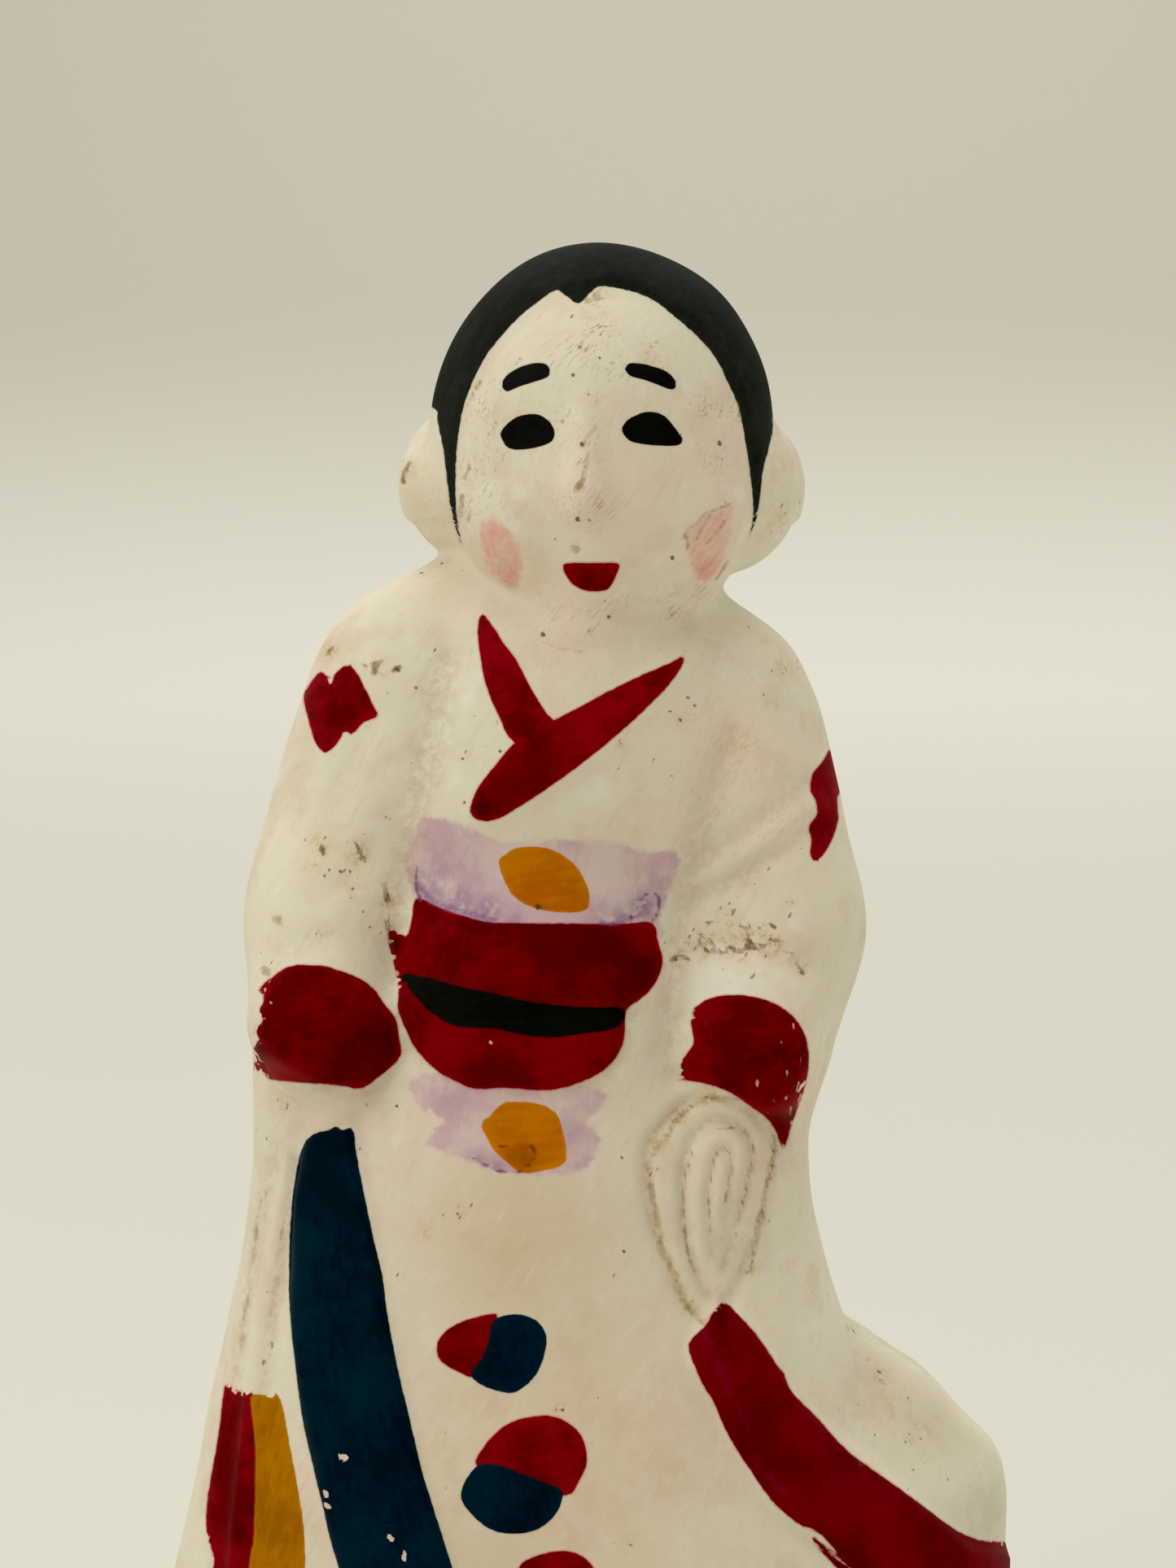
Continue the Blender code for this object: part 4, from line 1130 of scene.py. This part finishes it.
def makeBrushedPaint():
    # a coat laid on with a brush: where it covers, where it is thick, and how its edge breaks up and bleeds
    group, given, out = newGroup(
        "brushedPaint",
        [
            ("Coordinates", "NodeSocketVector", None),
            ("Fine Noise", "NodeSocketFloat", 0.5),
            ("Cloud Noise", "NodeSocketFloat", 0.5),
            ("Bristle Noise", "NodeSocketFloat", 0.5),
            ("Depth", "NodeSocketFloat", 0.0),
            ("Ragged", "NodeSocketFloat", 0.0),
            ("Chips", "NodeSocketFloat", 0.0),
            ("Wobble", "NodeSocketFloat", 0.12),
            ("Softness", "NodeSocketFloat", 0.07),
            ("Stroke Turn", "NodeSocketVector", (0.0, 0.0, 0.0)),
            ("Streaks", "NodeSocketFloat", 0.5),
        ],
        ["Cover", "Bleed", "Rim", "Thickness"],
    )
    unevenness = calculate(group, "SUBTRACT", given["Fine Noise"], 0.5)
    torn = stretchBetween(group, given["Bristle Noise"], *brushForm["torn"])
    torn = times(group, torn, given["Ragged"], brushForm["tornDepth"])
    depth = plus(group, given["Depth"], times(group, unevenness, given["Wobble"], 2.0), torn)
    chips = plus(group, given["Chips"], times(group, unevenness, brushForm["chipWobble"]))
    whole = without(group, stretchBetween(group, chips, *brushForm["chipEdge"]))
    soft = given["Softness"]
    cover = times(group, stretchBetween(group, depth, times(group, soft, -1.0), soft), whole)
    strokes = alongStrokes(group, given["Coordinates"], given["Stroke Turn"], brushForm["strokes"])
    brush = noiseAt(group, strokes, 1.0, 2.0, 0.6)
    blend = {0: given["Streaks"], 2: given["Cloud Noise"], 3: brush}
    patches = addNode(group, "ShaderNodeMix", blend, data_type="FLOAT").outputs[0]
    patches = plus(group, patches, times(group, unevenness, brushForm["mottle"]))
    group.links.new(cover, out["Cover"])
    group.links.new(stretchBetween(group, depth, *brushForm["bleed"]), out["Bleed"])
    group.links.new(without(group, stretchBetween(group, depth, *brushForm["rim"])), out["Rim"])
    group.links.new(stretchBetween(group, patches, *brushForm["thickness"]), out["Thickness"])
    return group


def makeSpecks():
    # scattered small marks: one in a random share of the cells of a grid
    group, given, out = newGroup(
        "scatteredSpecks",
        [
            ("Coordinates", "NodeSocketVector", None),
            ("Size", "NodeSocketFloat", 0.2),
            ("Share", "NodeSocketFloat", 0.1),
        ],
        ["Mask"],
    )
    uneven = bent(group, given["Coordinates"], speckForm["warpSize"], 2.0, speckForm["warp"])
    cells = addNode(group, "ShaderNodeTexVoronoi", {"Vector": uneven, "Scale": 1.0})
    pick = addNode(group, "ShaderNodeSeparateColor", {"Color": cells.outputs["Color"]})
    chosen = calculate(group, "LESS_THAN", pick.outputs[0], given["Share"])
    size = times(group, given["Size"], plus(group, pick.outputs[1], speckForm["leastSize"]))
    within = calculate(group, "SUBTRACT", size, cells.outputs["Distance"])
    group.links.new(times(group, stretchBetween(group, within, 0.0, speckForm["edge"]), chosen), out["Mask"])
    return group


def makeCrazing():
    # a net of thin broken cracks that holds dirt
    group, given, out = newGroup(
        "crazing",
        [("Coordinates", "NodeSocketVector", None), ("Width", "NodeSocketFloat", 0.05)],
        ["Mask"],
    )
    uneven = bent(group, given["Coordinates"], crackForm["warpSize"], 3.0, crackForm["warp"])
    net = addNode(group, "ShaderNodeTexVoronoi", {"Vector": uneven, "Scale": 1.0}, feature="DISTANCE_TO_EDGE")
    line = without(group, stretchBetween(group, net.outputs["Distance"], 0.0, given["Width"]))
    breaks = noiseAt(group, given["Coordinates"], crackForm["breakSize"], 3.0, 0.6)
    group.links.new(times(group, line, stretchBetween(group, breaks, *crackForm["broken"])), out["Mask"])
    return group


brushedPaint = makeBrushedPaint()
scatteredSpecks = makeSpecks()
crazing = makeCrazing()

clayLooks = {
    "ground": colour(231, 224, 202),
    "coolGround": colour(226, 222, 200),
    "pinkGround": colour(229, 212, 194),
    # the lighter, warmer colour of painted light on the shaded right side
    "warmLitShadeTone": colour(243, 220, 202),
    # tan of random patches and brush marks, and also the colour of the painted shade
    "tanToneAndShade": colour(212, 187, 156),
    # partly the train's own tone, partly painted cool light
    "greenToneAndCoolLight": colour(205, 204, 180),
    # pale of random patches and brush marks, and also the colour of painted highlights
    "paleToneAndHighlight": colour(238, 239, 229),
    "grime": colour(156, 112, 26),
    "deepGrime": colour(92, 60, 8),
    "smudge": colour(172, 142, 98),
    "stain": colour(226, 198, 142),
    "crimsonBleed": colour(204, 74, 104),
    "poolAndShadeDarkening": (0.42, 0.42, 0.42, 1.0),  # what is left of a paint's colour where it pooled, and where shade is painted
    "strokeAngle": 58.0,  # degrees up from the right, as the ground was brushed on
    "roughness": 0.72,
    "paintRoughness": 0.62,
    "hairRoughness": 0.22,  # beyond the other paints'
    "hairEdge": (-0.1, 0.1),  # mm
    "unevenRoughness": 0.2,
    "specular": 0.07,
    "relief": 0.12,  # mm
    "reliefStrength": 0.5,
    "strokeRelief": 0.8,
    "grainRelief": 0.35,
    "grainSize": 0.45,  # mm
}
evenNoises = {  # size (mm), detail, roughness
    "blots": (1.3, 4.0, 0.7),
    "fine": (0.9, 2.0, 0.55),
    "cloud": (8.0, 2.0, 0.55),
}
strokeNoises = {  # angle, lengths along and across a stroke (mm), detail, roughness
    "hatch": (clayLooks["strokeAngle"], (6.0, 0.75, 0.75), 3.0, 0.62),
    "bristles": (8.0, (6.0, 0.9, 1.1), 1.0, 0.55),
}
groundPatches = (  # size and place in the noise (mm), from, to, strength, colour
    (26.0, 0.0, 0.46, 0.62, 0.6, "coolGround"),
    (17.0, 40.0, 0.5, 0.66, 0.7, "pinkGround"),
    (7.0, 80.0, 0.5, 0.7, 0.35, "tanToneAndShade"),
    (4.0, 120.0, 0.54, 0.72, 0.4, "paleToneAndHighlight"),
)
groundStrokes = (  # from, to, strength, colour
    (0.54, 0.76, 0.3, "tanToneAndShade"),
    (0.44, 0.26, 0.2, "paleToneAndHighlight"),
)
dashes = {"turn": -6.0, "lengths": (2.2, 0.3, 0.3), "levels": (0.54, 0.68), "strength": 0.8}  # degrees, mm
# the tan marks lay painted shade, the rosy ones painted warm light in shade, the pale ones painted
# highlights, and the green ones partly painted cool light
groundMarks = (  # mark, colour, strength
    ("tanShadePlaces", "tanToneAndShade", 0.75),
    ("paleLitPlaces", "paleToneAndHighlight", 0.9),
    ("warmLitShadePlaces", "warmLitShadeTone", 1.0),
    ("greenTrainToneAndLight", "greenToneAndCoolLight", 0.75),
)
paintLooks = {  # thin and thick colour, wobble, softness, how much it hides, stroke angle, streaks, bleed
    "cheekPaint": (colour(236, 194, 176), colour(228, 168, 154), 0.5, 0.45, 0.75, 60, 0.5, 0.0),
    "lilacPaint": (colour(218, 192, 194), colour(203, 172, 180), 0.45, 0.35, 0.95, 86, 0.2, 0.0),
    "ochrePaint": (colour(204, 124, 8), colour(186, 102, 2), 0.1, 0.07, 1.0, 10, 0.3, 0.1),
    "redPaint": (colour(138, 4, 22), colour(98, 0, 8), 0.1, 0.06, 1.0, 12, 0.22, 0.5),
    "winePaint": (colour(118, 4, 20), colour(94, 0, 11), 0.12, 0.07, 1.0, -48, 0.2, 0.5),
    "yellowPaint": (colour(180, 116, 4), colour(154, 94, 0), 0.12, 0.07, 1.0, 84, 0.3, 0.1),
    "bluePaint": (colour(7, 35, 49), colour(2, 22, 34), 0.1, 0.06, 1.0, -72, 0.3, 0.12),
    "inkPaint": (colour(23, 24, 23), colour(18, 19, 18), 0.06, 0.05, 1.0, 0, 0.5, 0.1),
    "hairPaint": (colour(38, 43, 37), colour(28, 32, 28), 0.14, 0.07, 1.0, 55, 0.4, 0.1),
}
crimsonEdged = ("redPaint", "winePaint")
thinRim = -0.4  # how much thinner a coat is at its edge
washPatches = 0.3  # how much of a wash is lost where it dried thin
pools = {  # a second colour that dried in a paint: mark, colour, strength, the noise that breaks it up
    "cheekPaint": ("richPink", colour(214, 140, 128), 0.6, ("hatch", 0.3, 0.6)),
    "lilacPaint": ("violetPool", colour(134, 98, 142), 0.85, ("blots", 0.26, 0.56)),
    "ochrePaint": ("brownStain", colour(126, 62, 6), 0.8, None),
}
dirtLooks = {
    "hiddenByPaint": 0.97,
    "stain": 0.42,
    "grooveDepth": (0.1, 1.2),  # mm
    "grooveBlots": (0.34, 0.62),
    # how strongly the grooves darken: dirt, and painted shade in the hollows
    "grooveDirtAndShade": 0.3,
    "smearBlots": (0.44, 0.68),
    "smears": 0.36,
    "crackCells": (1.5, 1.0, 1.0),  # mm
    "crackWidth": 0.07,
    "crackGrime": (0.2, 0.8),
    "cracks": 0.6,
    "specks": 0.6,
    "gapSize": 1.8,  # mm
    "gaps": (0.4, 0.56),
}
speckSizes = (  # length and width of a cell (mm), size of its speck, share of cells, further share in grime
    (1.7, 0.8, 0.26, 0.004, 0.22),
    (1.0, 0.5, 0.28, 0.006, 0.3),
    (2.6, 1.9, 0.13, 0.02, 0.12),
)
markLooks = {  # marks over the paint: colour, strength, edge wobble and softness (mm), how much it breaks up
    "rimDirt": (colour(150, 116, 62), 0.7, 0.5, 0.35, 0.6),
    "softLines": (colour(158, 128, 80), 0.6, 0.35, 0.12, 0.6),
    "foldCracks": (colour(132, 104, 62), 0.6, 0.4, 0.12, 0.45),
    "dirtLines": (colour(98, 66, 8), 0.8, 0.55, 0.16, 0.45),
    "violetPools": (colour(134, 96, 140), 0.75, 0.5, 0.3, 0.3),
    "violetLines": (colour(104, 66, 112), 0.8, 0.3, 0.12, 0.35),
    # lighter strokes and a painted highlight along the train band
    "crimsonStrokesAndHighlights": (colour(140, 34, 60), 0.25, 0.5, 0.4, 0.4),
    "brownLines": (colour(108, 54, 8), 0.8, 0.2, 0.12, 0.0),
    "scratches": (colour(232, 196, 186), 0.75, 0.2, 0.06, 0.2),
    "darkSpots": (colour(90, 62, 14), 0.85, 0.3, 0.1, 0.0),
    "oliveSpots": (colour(150, 130, 84), 0.55, 0.5, 0.2, 0.2),
}


def sharedNoises(tree, place):
    noises = {name: noiseAt(tree, place, *look) for name, look in evenNoises.items()}
    for name, (angle, lengths, detail, roughness) in strokeNoises.items():
        strokes = alongStrokes(tree, place, strokeTurn(angle), lengths)
        noises[name] = noiseAt(tree, strokes, 1.0, detail, roughness)
    return noises


def groundColour(tree, place, hatch):
    # the chalky white ground: wide warm and cool patches, painted light and shade from the marks, and
    # slanting brush marks
    base = clayLooks["ground"]
    for size, offset, low, high, strength, shade in groundPatches:
        patch = noiseAt(tree, shifted(tree, place, (offset, 0.0, 0.0)), size, 3.0, 0.6)
        base = mixColours(tree, stretchBetween(tree, patch, low, high, 0.0, strength), base, clayLooks[shade])
    for mark, shade, strength in groundMarks:
        base = mixColours(tree, times(tree, attribute(tree, mark), strength), base, clayLooks[shade])
    for low, high, strength, shade in groundStrokes:
        base = mixColours(tree, stretchBetween(tree, hatch, low, high, 0.0, strength), base, clayLooks[shade])
    turn = strokeTurn(clayLooks["strokeAngle"] + dashes["turn"])
    dashed = noiseAt(tree, alongStrokes(tree, place, turn, dashes["lengths"]), 1.0, 2.0)
    dashed = stretchBetween(tree, dashed, *dashes["levels"])
    dashed = times(tree, dashed, attribute(tree, "smudges"), dashes["strength"])
    return mixColours(tree, dashed, base, clayLooks["smudge"])


def layPaints(tree, place, base, noises):
    # one over another, each thin at its edge, and dark where it pooled and where shade is painted on it
    painted = 0.0
    pooledAndShaded = attribute(tree, "thickPaintAndShade")
    given = {
        "Coordinates": place,
        "Fine Noise": noises["fine"],
        "Cloud Noise": noises["cloud"],
        "Bristle Noise": noises["bristles"],
        "Ragged": attribute(tree, "ragged"),
        "Chips": attribute(tree, "chips"),
    }
    for name, (thin, full, wobble, softness, hiding, angle, streaks, bleed) in paintLooks.items():
        own = {
            "Depth": attribute(tree, name),
            "Wobble": wobble,
            "Softness": softness,
            "Stroke Turn": strokeTurn(angle),
            "Streaks": streaks,
        }
        coat = addNode(tree, "ShaderNodeGroup", given | own, node_tree=brushedPaint).outputs
        richness = plus(tree, coat["Thickness"], times(tree, coat["Rim"], thinRim))
        richness = calculate(tree, "ADD", richness, pooledAndShaded, clamp=True)
        cover = times(tree, coat["Cover"], hiding)
        if hiding < 1:  # a wash, which dries in patches
            cover = times(tree, cover, plus(tree, times(tree, richness, washPatches), 1 - washPatches))
        else:
            painted = calculate(tree, "MAXIMUM", painted, coat["Cover"])
        if bleed > 0:
            fringe = clayLooks["crimsonBleed"] if name in crimsonEdged else thin
            base = mixColours(tree, times(tree, coat["Bleed"], bleed), base, fringe)
        base = mixColours(tree, cover, base, mixColours(tree, richness, thin, full))
        if name in pools:
            mark, shade, strength, breaks = pools[name]
            pooled = times(tree, attribute(tree, mark), coat["Cover"])
            if breaks:
                pooled = times(tree, pooled, stretchBetween(tree, noises[breaks[0]], *breaks[1:]))
            base = mixColours(tree, times(tree, pooled, strength), base, shade)
    # darkens the paint where it pooled and where shade is painted
    base = mixColours(tree, times(tree, pooledAndShaded, painted), base, clayLooks["poolAndShadeDarkening"], "MULTIPLY")
    return base, painted


def layDirt(tree, place, base, noises, painted):
    # a stain where it gathered, smears, dirt and painted shade in the grooves, a net of cracks, and slanting
    # specks
    blots, grime = noises["blots"], attribute(tree, "grime")
    bare = without(tree, times(tree, painted, dirtLooks["hiddenByPaint"]))
    base = mixColours(tree, times(tree, grime, bare, dirtLooks["stain"]), base, clayLooks["stain"])
    # the carved grooves take the grime colour: dirt, and painted shade in the hollows
    groove = stretchBetween(tree, attribute(tree, "groove"), *dirtLooks["grooveDepth"])
    groove = times(tree, groove, stretchBetween(tree, blots, *dirtLooks["grooveBlots"]), dirtLooks["grooveDirtAndShade"])
    smear = times(tree, stretchBetween(tree, blots, *dirtLooks["smearBlots"]), grime, dirtLooks["smears"])
    base = mixColours(tree, times(tree, plus(tree, groove, smear), bare), base, clayLooks["grime"])
    turn = strokeTurn(clayLooks["strokeAngle"])
    cracks = addNode(tree, "ShaderNodeGroup", {
        "Coordinates": alongStrokes(tree, place, turn, dirtLooks["crackCells"]),
        "Width": dirtLooks["crackWidth"],
    }, node_tree=crazing).outputs["Mask"]
    gathered = stretchBetween(tree, grime, *dirtLooks["crackGrime"])
    cracks = times(tree, cracks, gathered, bare, dirtLooks["cracks"])
    base = mixColours(tree, cracks, base, clayLooks["grime"])
    specks = 0.0
    for length, width, size, share, furtherShare in speckSizes:
        dots = addNode(tree, "ShaderNodeGroup", {
            "Coordinates": alongStrokes(tree, place, turn, (length, width, width)),
            "Size": size,
            "Share": plus(tree, times(tree, grime, furtherShare), share),
        }, node_tree=scatteredSpecks)
        specks = calculate(tree, "MAXIMUM", specks, dots.outputs["Mask"])
    return mixColours(tree, times(tree, specks, bare, dirtLooks["specks"]), base, clayLooks["deepGrime"])


def layMarks(tree, place, base, wobbly):
    gaps = stretchBetween(tree, noiseAt(tree, place, dirtLooks["gapSize"], 2.0), *dirtLooks["gaps"])
    for name, (shade, strength, wobble, softness, breaks) in markLooks.items():
        field = plus(tree, attribute(tree, name), times(tree, wobbly, wobble * 2))
        solid = plus(tree, times(tree, gaps, breaks), 1 - breaks)
        mark = times(tree, stretchBetween(tree, field, -softness, softness), solid, strength)
        base = mixColours(tree, mark, base, shade)
    return base


def giveSurface(tree, place, shader, hatch, wobbly, painted):
    gloss = stretchBetween(tree, painted, 0.0, 1.0, clayLooks["roughness"], clayLooks["paintRoughness"])
    hair = stretchBetween(tree, attribute(tree, "hairPaint"), *clayLooks["hairEdge"])
    hair = times(tree, hair, clayLooks["hairRoughness"])
    uneven = times(tree, wobbly, clayLooks["unevenRoughness"])
    tree.links.new(plus(tree, gloss, hair, uneven), shader.inputs["Roughness"])
    shader.inputs["Specular IOR Level"].default_value = clayLooks["specular"]
    grain = noiseAt(tree, place, clayLooks["grainSize"], 3.0, 0.6)
    grain = times(tree, grain, clayLooks["grainRelief"])
    bump = addNode(tree, "ShaderNodeBump", {
        "Height": plus(tree, times(tree, hatch, clayLooks["strokeRelief"]), grain),
        "Strength": clayLooks["reliefStrength"],
        "Distance": clayLooks["relief"] * mm,
    })
    tree.links.new(bump.outputs["Normal"], shader.inputs["Normal"])


def dollMaterial():
    material = bpy.data.materials.new("paintedClay")
    material.use_nodes = True
    tree = material.node_tree
    shader = tree.nodes["Principled BSDF"]
    place = addNode(tree, "ShaderNodeTexCoord").outputs["Object"]
    inMm = {"Vector": place, "Scale": (1 / mm, 1 / mm, 1 / mm)}
    place = addNode(tree, "ShaderNodeMapping", inMm).outputs[0]
    noises = sharedNoises(tree, place)
    wobbly = calculate(tree, "SUBTRACT", noises["blots"], 0.5)
    base = groundColour(tree, place, noises["hatch"])
    base, painted = layPaints(tree, place, base, noises)
    base = layDirt(tree, place, base, noises, painted)
    base = layMarks(tree, place, base, wobbly)
    tree.links.new(base, shader.inputs["Base Color"])
    giveSurface(tree, place, shader, noises["hatch"], wobbly, painted)
    return material


doll = bpy.data.objects.new("paintedClayDoll", dollMesh)
bpy.context.scene.collection.objects.link(doll)
dollMesh.materials.append(dollMaterial())
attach(doll, "root")
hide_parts("clay_doll")
print("doll painted")


# Studio: a pale paper sweep under a wide soft ceiling light.
studio = {
    "floorHalf": 6.0,
    "bendStart": 2.3,
    "bendRadius": 2.6,
    "bendSteps": 24,
    "wallTop": 6.0,
    "floorColour": colour(227, 226, 217),
    "shadedWallColour": colour(190, 187, 175),
    "wallHeights": (-0.15, 0.45),  # m, where the paper turns to the wall's darker colour, painted shade
    "frontAir": (0.48, 0.445, 0.385, 1.0),  # what the camera's side of the room sends back
    "backAir": (0.58, 0.58, 0.54, 1.0),
    "airTurn": (-0.8, 0.5),  # from the camera's side to the wall's
    "paperRoughness": 0.9,
    "paperSpecular": 0.1,
    "blackLevel": 0.006,
}
softLights = (  # name, place (m), aim (m), size (m), power (W), colour
    ("keyLight", (-0.75, -0.45, 0.75), (0.0, 0.0, 0.11), 0.6, 2.92, (1.0, 0.98, 0.93)),
    ("fillLight", (0.9, 0.1, 0.3), (0.0, 0.0, 0.11), 0.6, 0.64, (1.0, 0.97, 0.91)),
    ("overheadLight", (-0.1, -0.3, 1.2), (0.0, 0.0, 0.11), 0.5, 2.4, (1.0, 0.985, 0.94)),
    ("ceilingLight", (0.25, 2.9, 2.6), (0.25, 2.9, 0.0), 4.0, 69.0, (1.0, 1.0, 0.97)),
)


def paperMaterial():
    material = bpy.data.materials.new("palePaper")
    material.use_nodes = True
    tree = material.node_tree
    shader = tree.nodes["Principled BSDF"]
    place = addNode(tree, "ShaderNodeTexCoord").outputs["Object"]
    height = addNode(tree, "ShaderNodeSeparateXYZ", {0: place}).outputs[2]
    # the paper is painted darker up the wall, as painted shade
    shade = stretchBetween(tree, height, *studio["wallHeights"])
    paper = mixColours(tree, shade, studio["floorColour"], studio["shadedWallColour"])
    tree.links.new(paper, shader.inputs["Base Color"])
    shader.inputs["Roughness"].default_value = studio["paperRoughness"]
    shader.inputs["Specular IOR Level"].default_value = studio["paperSpecular"]
    return material


def makeSweep():
    profile = [(-studio["floorHalf"], 0.0), (studio["bendStart"], 0.0)]
    for step in range(1, studio["bendSteps"] + 1):
        turn = math.radians(90 * step / studio["bendSteps"])
        profile.append((
            studio["bendStart"] + studio["bendRadius"] * math.sin(turn),
            studio["bendRadius"] * (1 - math.cos(turn)),
        ))
    profile.append((studio["bendStart"] + studio["bendRadius"], studio["wallTop"]))
    mesh = bmesh.new()
    rows = []
    for y, z in profile:
        rows.append([mesh.verts.new((x, y, z)) for x in (-studio["floorHalf"], studio["floorHalf"])])
    for near, far in zip(rows, rows[1:]):
        mesh.faces.new((near[0], near[1], far[1], far[0]))
    data = bpy.data.meshes.new("studioSweep")
    mesh.to_mesh(data)
    mesh.free()
    data.polygons.foreach_set("use_smooth", [True] * len(data.polygons))
    sweep = bpy.data.objects.new("studioSweep", data)
    bpy.context.scene.collection.objects.link(sweep)
    data.materials.append(paperMaterial())


def makeLights():
    for name, place, aim, size, power, tint in softLights:
        data = bpy.data.lights.new(name, "AREA")
        data.shape = "SQUARE"
        data.size = size
        data.energy = power
        data.color = tint
        light = bpy.data.objects.new(name, data)
        light.location = place
        ray = np.array(aim) - np.array(place)
        light.rotation_euler = (
            math.atan2(math.hypot(ray[0], ray[1]), -ray[2]), 0, math.atan2(ray[1], ray[0]) - math.pi / 2,
        )
        bpy.context.scene.collection.objects.link(light)
    world = bpy.data.worlds.new("studioAir")
    world.use_nodes = True
    tree = world.node_tree
    way = addNode(tree, "ShaderNodeTexCoord").outputs["Generated"]
    backward = addNode(tree, "ShaderNodeSeparateXYZ", {0: way}).outputs[1]
    air = stretchBetween(tree, backward, *studio["airTurn"])
    air = mixColours(tree, air, studio["frontAir"], studio["backAir"])
    tree.links.new(air, tree.nodes["Background"].inputs["Color"])
    bpy.context.scene.world = world


makeSweep()
makeLights()
view = bpy.context.scene.view_settings
view.view_transform = "Standard"
view.use_curve_mapping = True
view.curve_mapping.black_level = [studio["blackLevel"]] * 3
view.curve_mapping.update()
print("studio lit")
